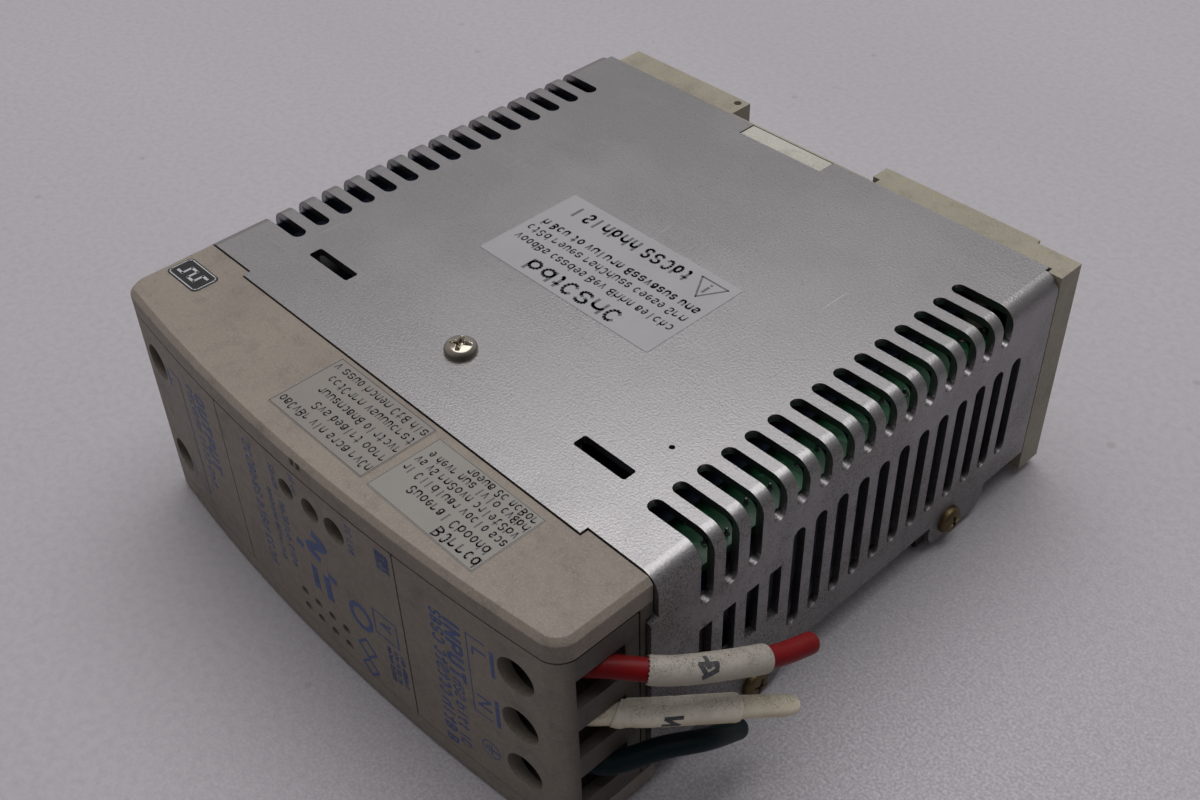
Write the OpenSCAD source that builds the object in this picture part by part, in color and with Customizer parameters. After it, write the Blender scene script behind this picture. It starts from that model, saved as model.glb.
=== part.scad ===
// DIN rail power supply, lying on its plain side, in millimetres.
// X runs along the wiring direction with the mains end at +X, Y runs from the
// curved front (-Y) to the rail face (+Y), Z runs across the width, slotted cover up.

/* [Case] */
// Length over the end walls of the metal cover
body_l = 115.6; // [100:0.2:130]
// Depth from the crown of the front to the rail face
body_d = 126.4; // [110:0.2:140]
// Width along the rail, over the metal cover
body_w = 47.6; // [44:0.2:60]
// Thickness of the metal sheet
sheet_t = 1.5; // [1:0.1:2]
// Outer radius of the cover's two bends
bend_r = 3.3; // [2:0.1:5]
// Clearance left between neighbouring pieces
gap = 0.3; // [0.2:0.05:0.5]

/* [Vent slots] */
// Width of one vent slot
slot_w = 2.8; // [2:0.1:3.4]
// Spacing of the vent slots
slot_pitch = 5.2; // [4.5:0.1:6]
// Number of slots that wrap over each bend
wrap_count = 15; // [8:1:16]
// How far a wrap slot reaches in from the end wall's face
wrap_in = 11.7; // [8:0.1:16]

/* [Front] */
// Length over the end faces of the plastic front
bezel_l = 113.8; // [98:0.2:128]
// Width of the plastic front
bezel_w = 47.3; // [43:0.1:59]
// Radius of the curved front
crown_r = 418; // [250:1:800]
// Chamfer round the edges of the front
chamfer = 0.95; // [0.5:0.05:2]
// Thickness of the front's moulded walls
wall_t = 2.2; // [1.6:0.1:3]
// Distance of the two long seams from the faces
seam_in = 4.35; // [3:0.05:6]
// Half length of the middle front plate
plate_half = 24; // [18:0.5:30]

/* [Terminals] */
// Spacing of the terminal screws across the width
term_pitch = 11.33; // [9:0.01:13]
// Distance of the terminal screws from the middle
term_x = 48.4; // [46:0.1:50]
// Radius of the screwdriver holes in the front
driver_r = 3.5; // [3:0.1:4]
// Height of a wire entry in the end face
entry_h = 6.6; // [5:0.1:7]

/* [Rail seat] */
// Width of the gap that takes the rail
rail_gap = 34.8; // [34:0.1:36]
// Depth of the groove under the fixed hook
hook_in = 1.6; // [1:0.1:2]
// How far the latch nose reaches past its block
nose_out = 2.6; // [1.5:0.1:3.5]

/* [Wires] */
// Diameter of the insulated wires
wire_d = 3.5; // [2:0.1:4]
// Outer diameter of the marker sleeves
sleeve_d = 4.4; // [4:0.1:6]
// Diameter of the bare conductor ends
strand_d = 1.7; // [1:0.1:2]

/* [Hidden] */

$fn = 72;
eps = 0.02;      // overlap between joined solids of one node
over = 2;        // how far a cutter runs past a face
fit = 0.05;      // radial play of a turning or threaded fit
film_t = 0.08;   // label film

half_l = body_l / 2;
front_y = -body_d / 2;
back_y = body_d / 2;
in_x = half_l - sheet_t;         // inner face of the end walls
in_z = body_w - sheet_t;         // inner face of the cover's top
bez_x = bezel_l / 2;

// cover edges
cover_front = -43;               // middle of the front edge
cover_front_end = -41.5;         // front edge near the two ends
cover_wall_front = -43;          // front edge of the end walls
seam = 0.15;                     // how close the plastic front comes to the cover's edges
step_fall = 0.7;                 // slope of the step in the end walls' front edge
cover_rear = 57.1;
cover_wall_rear = 55.8;
step_x = 43.6;                   // where the front edge steps
wall_bottom = 6.9;               // lower edge of the end walls
step_z = 39.9;                   // where the end walls' front edge steps
relief_x = 54.6;                 // bend relief at the rear corners
ear_y = [[-28, -12], [27.4, 43.6]];
ear_screw_y = [-19.5, 32.9];
ear_bottom = 1.5;
ear_screw_z = 5.6;
slot_y0 = -31.6;                 // first slot, mains end
slot_shift = 2.9;                // the other end's slots sit further back
wrap_low = 40.7;                 // lower tip of a wrap slot
wrap_low_front = 35.05;          // lower tip of the first three
low_count = 16;
low_long = [12.8, 35.2];
low_short = [18.6, 29.9];
window = [[29.2, 40.4], [-31.3, -28.6]];
cover_screw_at = [0, -29.2];
pin_at = [40.4, -21.2];
tab_x = [-13.5, 6.7];            // cream retainer in the rear edge
tab_y = 53.1;

// base plate
base_z = [1.2, 2.7];
base_x = 53;
base_y = [-40.5, 55];
lug_w = 13;
lug_top = 9.6;

// front
crown_c = front_y + crown_r;
corner_r = 4.2;
corner_over = 0.03;              // how far a corner post stands past the faces it meets
seam_z = [seam_in, bezel_w - seam_in];
bulk_y = [-44.2, -41.4];         // bulkhead behind the front pieces
block_rear = bulk_y[0] - gap;
spigot_rear = -28.8;
spigot_x = 44;
spigot_end_x = 55.9;

// terminals: heights of the three screws, middle one first
term_z = [for (k = [-1 : 1]) body_w / 2 - 0.15 + k * term_pitch];
cell_x = [43.4, 54.9];
cell_y = [-58.4, -47];
cell_h = 4.3;
entry_y = [-56.5, -47.2];
clamp_y = -52.9;                 // front of the terminal plate
clamp_gap = 1.9;
plate_t = 1;
washer_a = 3.7;
washer_t = 0.9;
screw_r = 1.75;
head_r = 3.2;
head_t = 2.4;
shank_end = -48;
leg_t = 0.8;
leg_rear = [-37.4, -34.8, -32.2];
leg_top = 39;

// rail seat
rail_x = [-20, -20 + rail_gap];
rail_floor = 57.8;
rail_flange = 1.3;               // groove width under the hook
relief = 0.2;                    // depth of the shallow reliefs in the seat
rear_wall_y = 55.4;
rear_body_y = cover_rear + gap;
latch_z = [14.2, 33.8];
latch_y = [58.8, 61.1];
latch_body_x = -52.4;            // outer end of the block that carries the latch
rib_z = [17.4, 30.6];
rib_y = 62.9;
spring_r = 1.5;
spring_wire = 0.5;
spring_x = [-42.8, -29.2];
spring_c = [60.7, 24];
nub_x = [-45, -43];

// board
pcb_z = [36.5, 38.1];
pcb_x = 54.2;
pcb_y = [-39.6, 54.4];
tongue_x = [-10, 16];
tongue_y = -50.5;
lamp_z = 37;
lamp_x = [-3.6, 3.0];
lamp_hole = [2.0, 2.25];
trim_x = 9.3;
trim_hole = 2.5;
spacer_at = [[-48, -31], [48.5, 47], [-48, 48], [18, -10]];
comp_top = pcb_z[0] - 0.2;       // components hang from the board's underside
top_film_z = [41.7, 42.1];       // film over the board's solder side
turned_x = [-55.4, -55];         // its turned up edge, on the output side
turned_y = [-36, 52.6];
turned_top = 45.7;

// wire routes: terminal, entry in the end face, then the free run
red_pts = [[53.4, -53.6, 36.1], [57.2, -50.2, 36.3], [62.4, -44.7, 35.2],
  [65.5, -37.2, 32.4], [67.9, -27.6, 28.3], [68.8, -19.6, 25.5]];
white_pts = [[53.4, -53.6, 25], [57.2, -49.6, 25], [61.6, -45, 25.3],
  [66.7, -35, 21.8], [70.9, -25.1, 17.2]];
green_pts = [[53.2, -53.8, 13.5], [57.2, -50.5, 13.7], [61.9, -44.7, 16.6],
  [65, -38.6, 15.8], [64.5, -30.1, 10]];
path_steps = 4;                  // rings per route interval
red_path = smooth(red_pts, path_steps);
white_path = smooth(white_pts, path_steps);
green_path = smooth(green_pts, path_steps);
red_sleeve_span = [7, 15];
white_sleeve_span = [5, 12];
sleeve_bore = 0.2;               // radial room inside a sleeve

// ---------------------------------------------------------------- helpers
module box(x, y, z) {
  translate([x[0], y[0], z[0]]) cube([x[1] - x[0], y[1] - y[0], z[1] - z[0]]);
}

// cylinder along Y, from a to b
module rod_y(r, a, b) {
  translate([0, b, 0]) rotate([90, 0, 0]) cylinder(r = r, h = b - a);
}

// cylinder along X, from a to b
module rod_x(r, a, b) {
  translate([a, 0, 0]) rotate([0, 90, 0]) cylinder(r = r, h = b - a);
}

// flat outline in X and Z pushed along Y
module along_y(a, b) {
  translate([0, b, 0]) rotate([90, 0, 0]) linear_extrude(height = b - a) children();
}

// flat outline in Y and Z pushed along X
module along_x(a, b) {
  translate([a, 0, 0]) rotate([90, 0, 90]) linear_extrude(height = b - a) children();
}

module both_ends() {
  for (s = [0, 1]) mirror([s, 0, 0]) children();
}

// doorway shape with rounded upper corners
module arch(w, low, high, r) {
  translate([-w, low]) square([2 * w, high - r - low]);
  translate([r - w, low]) square([2 * (w - r), high - low]);
  for (s = [-1, 1]) translate([s * (w - r), high - r]) circle(r);
}

// flat slot with round ends, long way along the second axis
module stadium(w, a, b) {
  translate([-w / 2, a + w / 2]) square([w, b - a - w]);
  for (t = [a + w / 2, b - w / 2]) translate([0, t]) circle(w / 2);
}

// crossed recess for a screwdriver, cut down from z = 0
module cross_recess(a, w, deep) {
  for (t = [0, 90]) rotate([0, 0, t]) translate([-a / 2, -w / 2, -deep]) cube([a, w, deep + over]);
}

// Catmull-Rom curve through hand-chosen points
function bend(a, b, c, d, t) = 0.5 * (2 * b + (c - a) * t + (2 * a - 5 * b + 4 * c - d) * t * t
  + (3 * b - a - 3 * c + d) * t * t * t);
function at(p, i) = i < 0 ? 2 * p[0] - p[1] : i >= len(p) ? 2 * p[len(p) - 1] - p[len(p) - 2] : p[i];
function smooth(p, n) = concat([for (i = [0 : len(p) - 2]) for (j = [0 : n - 1])
  bend(at(p, i - 1), p[i], p[i + 1], at(p, i + 2), j / n)], [p[len(p) - 1]]);
function unit(v) = v / norm(v);
function heading(p, i) = unit(at(p, i + 1) - at(p, i - 1));
function side(t) = unit(cross(t, [0, 0.2, 1]));
function ring(p, i, r, n) = let (t = heading(p, i), u = side(t), v = cross(t, u))
  [for (k = [0 : n - 1]) p[i] + r * (cos(k * 360 / n) * u + sin(k * 360 / n) * v)];

// solid cord swept along a path
module cord(p, r, n) {
  last = len(p) - 1;
  polyhedron(points = [for (i = [0 : last]) each ring(p, i, r, n)],
    faces = concat([[for (k = [0 : n - 1]) k]],
      [for (i = [0 : last - 1]) for (k = [0 : n - 1])
        let (a = i * n + k, b = i * n + (k + 1) % n) [a, a + n, b + n, b]],
      [[for (k = [n - 1 : -1 : 0]) last * n + k]]));
}

// hollow sleeve swept along part of a path
module sleeve(p, span, r_out, r_in, n) {
  m = span[1] - span[0];
  q = (m + 1) * n;
  polyhedron(points = concat([for (i = [0 : m]) each ring(p, span[0] + i, r_out, n)],
      [for (i = [0 : m]) each ring(p, span[0] + i, r_in, n)]),
    faces = concat(
      [for (i = [0 : m - 1]) for (k = [0 : n - 1])
        let (a = i * n + k, b = i * n + (k + 1) % n) [a, a + n, b + n, b]],
      [for (i = [0 : m - 1]) for (k = [0 : n - 1])
        let (a = q + i * n + k, b = q + i * n + (k + 1) % n) [a, b, b + n, a + n]],
      [for (k = [0 : n - 1]) let (b = (k + 1) % n) [k, b, q + b, q + k]],
      [for (k = [0 : n - 1]) let (a = m * n + k, b = m * n + (k + 1) % n) [a, q + a, q + b, b]]));
}

// ------------------------------------------------------------- metal case
module wrap_slot(y, low) {
  tip = half_l - wrap_in;
  translate([0, y, 0]) {
    box([tip + slot_w / 2, half_l + over], [-slot_w / 2, slot_w / 2], [in_z - bend_r, body_w + over]);
    translate([tip + slot_w / 2, 0, in_z - over]) cylinder(r = slot_w / 2, h = sheet_t + 2 * over);
    box([in_x - over, half_l + over], [-slot_w / 2, slot_w / 2], [low + slot_w / 2, in_z - bend_r + eps]);
    translate([0, 0, low + slot_w / 2]) rod_x(slot_w / 2, in_x - over, half_l + over);
  }
}

module end_vents(shift) {
  for (i = [0 : wrap_count - 1])
    wrap_slot(slot_y0 + shift + i * slot_pitch, i < 3 ? wrap_low_front : wrap_low);
  for (i = [0 : low_count - 1]) translate([0, slot_y0 + shift + i * slot_pitch, 0]) {
    if (i < 4) box([in_x - over, half_l + over], [-slot_w / 2, slot_w / 2], low_short);
    else along_x(in_x - over, half_l + over) stadium(slot_w, low_long[0], low_long[1]);
  }
}

module ear(y) {
  r = 3.5;
  along_x(in_x, half_l) {
    translate([y[0], ear_bottom + r]) square([y[1] - y[0], wall_bottom + 1 - ear_bottom - r]);
    translate([y[0] + r, ear_bottom]) square([y[1] - y[0] - 2 * r, wall_bottom + 1 - ear_bottom]);
    for (t = [y[0] + r, y[1] - r]) translate([t, ear_bottom + r]) circle(r);
  }
}

module window_cut() {
  r = 0.5;
  z = [in_z - over, body_w + over];
  box([window[0][0] + r, window[0][1] - r], window[1], z);
  box(window[0], [window[1][0] + r, window[1][1] - r], z);
  for (x = [window[0][0] + r, window[0][1] - r], y = [window[1][0] + r, window[1][1] - r])
    translate([x, y, z[0]]) cylinder(r = r, h = z[1] - z[0]);
}

module side_cover() color([0.78, 0.78, 0.76]) difference() {
  union() {
    difference() {
      along_y(cover_wall_front, cover_rear) arch(half_l, wall_bottom, body_w, bend_r);
      along_y(cover_wall_front - over, cover_rear + over)
        arch(in_x, wall_bottom - over, in_z, bend_r - sheet_t);
    }
    both_ends() for (y = ear_y) ear(y);
  }
  box([-step_x, step_x], [cover_wall_front - over, cover_front], [in_z - over, body_w + over]);
  both_ends() {
    box([step_x - eps, half_l + over], [cover_wall_front - over, cover_front_end], [step_z, body_w + over]);
    along_x(in_x - 1, half_l + 1) polygon([[cover_front_end + 0.1, step_z + 0.05],
      [cover_wall_front - 0.1, step_z + 0.05], [cover_wall_front - 0.1, step_z - step_fall]]);
    box([relief_x, half_l + over], [cover_wall_rear, cover_rear + over], [0, body_w + over]);
    window_cut();
    for (y = ear_screw_y) translate([0, y, ear_screw_z]) rod_x(screw_m3() + 2 * fit, in_x - 1, half_l + 1);
  }
  end_vents(0);
  mirror([1, 0, 0]) end_vents(slot_shift);
  box([tab_x[0] - gap / 2, tab_x[1] + gap / 2], [tab_y - gap / 2, cover_rear + over],
    [in_z - over, body_w + over]);
  translate([cover_screw_at[0], cover_screw_at[1], in_z - 1])
    cylinder(r = screw_m3() + 2 * fit, h = sheet_t + over);
  translate([pin_at[0], pin_at[1], in_z - 1]) cylinder(r = 0.5, h = sheet_t + over);
}

module base_plate() color([0.72, 0.72, 0.72]) difference() {
  union() {
    box([-base_x, base_x], base_y, base_z);
    both_ends() for (y = ear_screw_y) {
      box([base_x - 1, in_x - gap], [y - lug_w / 2, y + lug_w / 2], base_z);
      box([in_x - gap - sheet_t, in_x - gap], [y - lug_w / 2, y + lug_w / 2], [base_z[0], lug_top]);
    }
  }
  both_ends() for (y = ear_screw_y)
    translate([0, y, ear_screw_z]) rod_x(screw_m3() + fit, in_x - 4, half_l);
  for (s = [-1, 1], i = [-4 : 4]) translate([s * 26, 8 + i * 2 * slot_pitch, base_z[0] - 1])
    linear_extrude(height = sheet_t + 2) rotate([0, 0, 90]) stadium(slot_w, -14, 14);
}

// ------------------------------------------------------------ plastic front
module edge_band(r_low, r_high, z, h) {
  translate([0, crown_c, z]) cylinder(r1 = r_low, r2 = r_high, h = h, $fn = 720);
}

module corner_post(r) {
  cylinder(r1 = r - chamfer, r2 = r, h = chamfer);
  translate([0, 0, chamfer]) cylinder(r = r, h = bezel_w - 2 * chamfer);
  translate([0, 0, bezel_w - chamfer]) cylinder(r1 = r, r2 = r - chamfer, h = chamfer);
}

// outside shape of the whole front, before it is divided
module envelope() {
  cx = bez_x - corner_r;
  reach = crown_r - corner_r;
  cy = crown_c - sqrt(reach * reach - cx * cx);
  dir = [cx / reach, (cy - crown_c) / reach];
  far = corner_r * 3;
  difference() {
    intersection() {
      union() {
        edge_band(crown_r - chamfer, crown_r, 0, chamfer);
        edge_band(crown_r, crown_r, chamfer, bezel_w - 2 * chamfer);
        edge_band(crown_r, crown_r - chamfer, bezel_w - chamfer, chamfer);
      }
      along_y(front_y - over, bulk_y[1]) polygon([[chamfer - bez_x, 0], [bez_x - chamfer, 0],
        [bez_x, chamfer], [bez_x, bezel_w - chamfer], [bez_x - chamfer, bezel_w],
        [chamfer - bez_x, bezel_w], [-bez_x, bezel_w - chamfer], [-bez_x, chamfer]]);
    }
    both_ends() difference() {
      translate([0, 0, -1]) linear_extrude(height = bezel_w + 2) polygon([[cx, cy],
        [cx + far * dir[0], cy + far * dir[1]], [cx + far, cy - far], [cx + far, cy]]);
      translate([cx, cy, 0]) corner_post(corner_r + corner_over);
    }
  }
}

// straight-backed hollow that follows the curved front at wall thickness t
module hollow(x, t, rear, z) {
  intersection() {
    translate([0, crown_c, z[0]]) cylinder(r = crown_r - t, h = z[1] - z[0], $fn = 720);
    box(x, [front_y, rear], z);
  }
}

module bezel_frame() color([0.80, 0.77, 0.70]) difference() {
  union() {
    intersection() {
      envelope();
      union() {
        box([-bez_x, bez_x], [front_y - 1, bulk_y[1]], [0, seam_z[0]]);
        box([-bez_x, bez_x], [front_y - 1, bulk_y[1]], [seam_z[1], bezel_w]);
        box([-bez_x, bez_x], bulk_y, [step_z + seam, bezel_w]);
        box([-bez_x, bez_x], [bulk_y[0], cover_wall_front - seam], [0, bezel_w]);
      }
    }
    box([-spigot_end_x, spigot_end_x], bulk_y, [0, in_z - 0.9]);
    for (z = [[3.2, 5], [43.9, 45.7]]) box([-spigot_x, spigot_x], [bulk_y[1] - eps, spigot_rear], z);
    both_ends() {
      box([spigot_end_x - 1.4, spigot_end_x], [bulk_y[1] - eps, spigot_rear], [10, 33]);
    }
    translate([cover_screw_at[0], cover_screw_at[1], 39]) cylinder(r = 3.75, h = 6.7);
  }
  // hollow behind the top and bottom bands
  hollow([-bez_x + wall_t, bez_x - wall_t], wall_t, bulk_y[0], [2, seam_z[0] + over]);
  hollow([-bez_x + wall_t, bez_x - wall_t], wall_t, bulk_y[0], [seam_z[1] - over, bezel_w - 2]);
  // step that clears the cover's front edge
  box([-step_x - seam, step_x + seam], [cover_front - seam, bulk_y[1] + over], [45.7, bezel_w + 1]);
  both_ends() box([spigot_end_x - 1, bez_x + 1], [cover_front_end - seam, bulk_y[1] + eps],
    [step_z - 1, bezel_w + 1]);
  both_ends() box([step_x - eps, bez_x + 1], [cover_front_end - seam, bulk_y[1] + 1], [45.7, bezel_w + 1]);
  // openings in the upper flange under the cover's two windows
  both_ends() box([window[0][0] - 0.6, window[0][1] + 0.6], [window[1][0] - 0.8, spigot_rear + 1], [42, 46.5]);
  // ways through the bulkhead: board tongue, terminal legs, air
  box([tongue_x[0] - 0.6, tongue_x[1] + 0.6], [bulk_y[0] - 1, bulk_y[1] + 1], [34.4, 39.2]);
  for (s = [-1, 1], z = term_z) translate([s * (cell_x[0] + 1.2), 0, z])
    box([-1.4, 1.4], [bulk_y[0] - 1, bulk_y[1] + 1], [-2.8, 2.8]);
  for (i = [-3 : 3]) translate([i * 5, 0, 0]) box([-1.3, 1.3], [bulk_y[0] - 1, bulk_y[1] + 1], [9, 26]);
  translate([cover_screw_at[0], cover_screw_at[1], 38]) cylinder(r = screw_m3() + fit, h = 9);
  translate([0.5, front_y, seam_z[1] + 2.6]) box([-0.6, 0.6], [-1, 0.8], [-0.8, 0.8]);
  translate([2.1, front_y, seam_z[1] + 2.6]) box([-0.6, 0.6], [-1, 0.8], [-0.8, 0.8]);
}

module front_piece(x) intersection() {
  envelope();
  box(x, [front_y - 1, block_rear], [seam_z[0] + gap, seam_z[1] - gap]);
}

// terminal block with cells for the screws at z heights, mains end as drawn
module terminal_block(heights) difference() {
  front_piece([plate_half + gap / 2, bez_x]);
  hollow([plate_half + wall_t, cell_x[0] - wall_t], wall_t, block_rear + 1,
    [seam_z[0] + gap + wall_t, seam_z[1] - gap - wall_t]);
  for (z = heights) translate([0, 0, z]) {
    box(cell_x, cell_y, [-cell_h, cell_h]);
    box([cell_x[1] - 1, bez_x + 1], entry_y, [-entry_h / 2, entry_h / 2]);
    box([cell_x[0], cell_x[0] + 2.2], [cell_y[1] - 1, block_rear + 1], [-2.4, 2.4]);
    translate([term_x, 0, 0]) rod_y(driver_r, front_y - 1, cell_y[0] + 1);
  }
}

module input_block() color([0.82, 0.79, 0.72]) terminal_block(term_z);
module output_block() color([0.82, 0.79, 0.72]) mirror([1, 0, 0]) terminal_block([term_z[0], term_z[2]]);

module front_plate() color([0.84, 0.81, 0.74]) difference() {
  front_piece([-plate_half + gap / 2, plate_half - gap / 2]);
  hollow([wall_t - plate_half, plate_half - wall_t], wall_t, block_rear + 1,
    [seam_z[0] + gap - 1, seam_z[1] - gap + 1]);
  for (i = [0, 1]) translate([lamp_x[i], 0, lamp_z]) rod_y(lamp_hole[i], front_y - 1, front_y + 5);
  translate([trim_x, 0, lamp_z]) rod_y(trim_hole, front_y - 1, front_y + 5);
  for (i = [0 : 3], z = [7.7, 11.6]) translate([-5.1 + i * 3.94, 0, z]) rod_y(1, front_y - 1, front_y + 5);
}

// -------------------------------------------------------------- rail side
module rear_moulding() color([0.84, 0.79, 0.66]) difference() {
  union() {
    box([-in_x + 0.4, in_x - 0.4], [rear_wall_y, rail_floor], [3.2, in_z - 0.9]);
    box([rail_x[1], half_l - 9], [rear_body_y, back_y], [0, bezel_w]);
    box([half_l - 9 - eps, half_l], [rear_body_y, back_y - 1], [2, bezel_w]);
    box([latch_body_x, rail_x[0]], [rear_body_y, back_y], [0, bezel_w]);
    box([relief_x + 0.4, half_l], [cover_wall_rear + gap, rear_body_y + eps], [2, bezel_w]);
    // the rail's seat runs out to the full width behind the cover's rear edge
    box([rail_x[0] - eps, rail_x[1] + eps], [rear_body_y, rail_floor], [0, bezel_w]);
  }
  // groove under the fixed hook, a shade deeper than the seat, and relief under the latch nose
  box([rail_x[1], rail_x[1] + hook_in], [rail_floor - relief, rail_floor + rail_flange], [-1, bezel_w + 1]);
  box([rail_x[0], rail_x[0] + nose_out + 1], [rail_floor - relief, rail_floor + 1],
    [latch_z[0] - 1, latch_z[1] + 1]);
  // hollows in the blocks, open to the rear
  for (z = [[4, 21.5], [25.8, 43.3]]) box([22, half_l - 12], [59.6, back_y + 1], z);
  for (z = [[3, 11.4], [36.6, 44.3]]) box([latch_body_x + 2.6, -24], [59.6, back_y + 1], z);
  // slideway for the latch
  box([-half_l - 1, rail_x[0] + 1], [latch_y[0] - 0.1, latch_y[1] + 0.2], [latch_z[0] - 0.2, latch_z[1] + 0.2]);
  box([-half_l - 1, rail_x[0] - 1.5], [latch_y[1], back_y + 1], [rib_z[0] - 0.3, rib_z[1] + 0.3]);
  translate([-22, 61.6, bezel_w - 4]) cylinder(r = 0.8, h = 5);
}

module latch_post() box(nub_x, [latch_y[0] - 0.3, rib_y - 0.4], [22.2, 25.8]);

module rear_body() { rear_moulding(); color([0.84, 0.79, 0.66]) latch_post(); }

module din_latch() color([0.20, 0.20, 0.21]) difference() {
  union() {
    box([-half_l + 0.6, rail_x[0] + 0.2], latch_y, latch_z);
    along_z_nose();
    box([-50, rail_x[0] - 1.7], [latch_y[1] - eps, rib_y], rib_z);
  }
  box([nub_x[0] - 0.2, spring_x[1] + 0.1], [latch_y[0] - 1, rib_y + 1], [spring_c[1] - 2.1, spring_c[1] + 2.1]);
  box([-56, -53.4], [latch_y[0] - 1, latch_y[1] + 1], [20, 28]);
}

// bevelled nose that rides over the rail's flange
module along_z_nose() {
  y0 = rail_floor + rail_flange + 0.05;
  translate([rail_x[0], 0, latch_z[0]]) linear_extrude(height = latch_z[1] - latch_z[0])
    polygon([[0, y0], [nose_out, y0], [nose_out, y0 + 0.5], [nose_out - 1.3, latch_y[1]], [0, latch_y[1]]]);
}

// coil about an axis along X, wire of radius w
module coil(x, c, r, w, turns, per, n) {
  count = turns * per;
  polyhedron(points = [for (i = [0 : count]) let (
        t = i / count,
        out = [0, cos(turns * 360 * t), sin(turns * 360 * t)],
        mid = [x[0] + (x[1] - x[0]) * t, c[0] + r * out[1], c[1] + r * out[2]])
      for (k = [0 : n - 1]) mid + w * (cos(k * 360 / n) * out + sin(k * 360 / n) * [1, 0, 0])],
    faces = concat([[for (k = [0 : n - 1]) k]],
      [for (i = [0 : count - 1]) for (k = [0 : n - 1])
        let (a = i * n + k, b = i * n + (k + 1) % n) [a, a + n, b + n, b]],
      [[for (k = [n - 1 : -1 : 0]) count * n + k]]));
}

module latch_spring() color([0.75, 0.75, 0.78])
  coil([spring_x[0] + spring_wire / 2, spring_x[1] - spring_wire / 2], spring_c,
    spring_r - spring_wire / 2, spring_wire / 2, 8, 12, 6);

module rear_retainer() color([0.90, 0.89, 0.82]) {
  box(tab_x, [tab_y, cover_rear - 0.1], [in_z - 0.1, body_w - 0.1]);
  box([tab_x[0] + 3, tab_x[1] - 3], [tab_y, tab_y + 1.9], [40.4, in_z]);
}

// ---------------------------------------------------------- board and films
module main_pcb() color([0.10, 0.36, 0.20]) difference() {
  union() {
    box([-pcb_x, pcb_x], pcb_y, pcb_z);
    box(tongue_x, [tongue_y, pcb_y[0] + eps], pcb_z);
  }
  for (p = spacer_at) translate([p[0], p[1], pcb_z[0] - 1]) cylinder(r = 1.8, h = 4);
  for (s = [-1, 1], y = leg_rear) translate([s * (cell_x[0] + 1.2), y, pcb_z[0] - 1])
    box([-0.8, 0.8], [-1.9, 0.3], [0, 4]);
}

module insulator_top() color([0.12, 0.13, 0.16]) difference() {
  union() {
    box([-47, 47], [-25, turned_y[1]], top_film_z);
    both_ends() box([window[0][0] - 8, 47], [-38, -24], top_film_z);
    // turned up inside the end wall on the output side
    box([turned_x[0], -46], turned_y, top_film_z);
    box(turned_x, turned_y, [top_film_z[0], turned_top]);
  }
  for (p = spacer_at) translate([p[0], p[1], 41]) cylinder(r = 1.6, h = 2);
}

module insulator_liner() color([0.07, 0.09, 0.16]) difference() {
  union() {
    box([-54.1, 54.1], [-26, 53], [3.0, 3.4]);
    both_ends() box([53.7, 54.1], [-26, 53], [3.0, 35.6]);
  }
  for (p = spacer_at) translate([p[0], p[1], 2]) cylinder(r = 3.3, h = 2);
}

module pcb_spacers() color([0.88, 0.88, 0.84]) for (p = spacer_at) translate([p[0], p[1], 0]) {
  translate([0, 0, base_z[1] + 0.1]) cylinder(r = 3, h = comp_top - base_z[1] - 0.1);
  translate([0, 0, comp_top - eps]) cylinder(r = 1.6, h = pcb_z[1] - comp_top + 0.3);
  translate([0, 0, pcb_z[1] + 0.2]) cylinder(r = 2.4, h = 3);
  translate([0, 0, pcb_z[1] + 3]) cylinder(r = 1.3, h = 1.8);
}

// ------------------------------------------------------------- components
module transformer_core() color([0.16, 0.16, 0.17]) difference() {
  box([-13, 21], [17, 51], [15, 27]);
  for (x = [[-8, -1], [9, 16]]) box(x, [22, 46], [14, 28]);
}

module transformer_winding() color([0.72, 0.45, 0.12]) difference() {
  box([-7.6, 15.6], [22.4, 45.6], [9.5, 33.5]);
  box([-1.3, 9.3], [20, 48], [14.7, 27.3]);
}

module toroid(at, r_out, r_in, z) {
  translate([at[0], at[1], z[0]]) difference() {
    cylinder(r = r_out, h = z[1] - z[0]);
    translate([0, 0, -1]) cylinder(r = r_in, h = z[1] - z[0] + 2);
  }
}

module common_mode_choke() color([0.70, 0.38, 0.15]) toroid([35, -14], 9.5, 4, [21.5, comp_top]);
module output_choke() color([0.72, 0.40, 0.16]) toroid([-38, 34], 11, 4.5, [20, comp_top]);

module can(at, r, z) {
  translate([at[0], at[1], z[0]]) cylinder(r1 = r - 0.8, r2 = r, h = 0.8);
  translate([at[0], at[1], z[0] + 0.8 - eps]) cylinder(r = r, h = z[1] - z[0] - 0.8 + eps);
}

module bulk_capacitor() color([0.10, 0.10, 0.12]) can([38, 29], 12.5, [5.3, comp_top]);
module output_capacitors() color([0.14, 0.12, 0.10])
  for (p = [[-45, -16], [-45, -1], [-31, -16]]) can(p, 6.3, [11, comp_top]);
module x_capacitor() color([0.75, 0.72, 0.30]) box([5, 23], [-27, -18.5], [21.3, comp_top]);

module fuse() color([0.85, 0.86, 0.84]) translate([0, -33, 30]) rod_x(2.55, 20, 40);

module fuse_clips() color([0.78, 0.74, 0.60]) for (x = [21, 33.5]) difference() {
  box([x, x + 5], [-36.4, -29.6], [27, comp_top]);
  translate([0, -33, 30]) rod_x(2.65, x - 1, x + 6);
  box([x - 1, x + 6], [-35.2, -30.8], [26, 30]);
}

module primary_heat_sink() color([0.70, 0.71, 0.72]) {
  box([6, 52], [11, 13], [6, comp_top]);
  for (x = [8, 50]) box([x, x + 2], [4, 11 + eps], [6, 14]);
}

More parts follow.
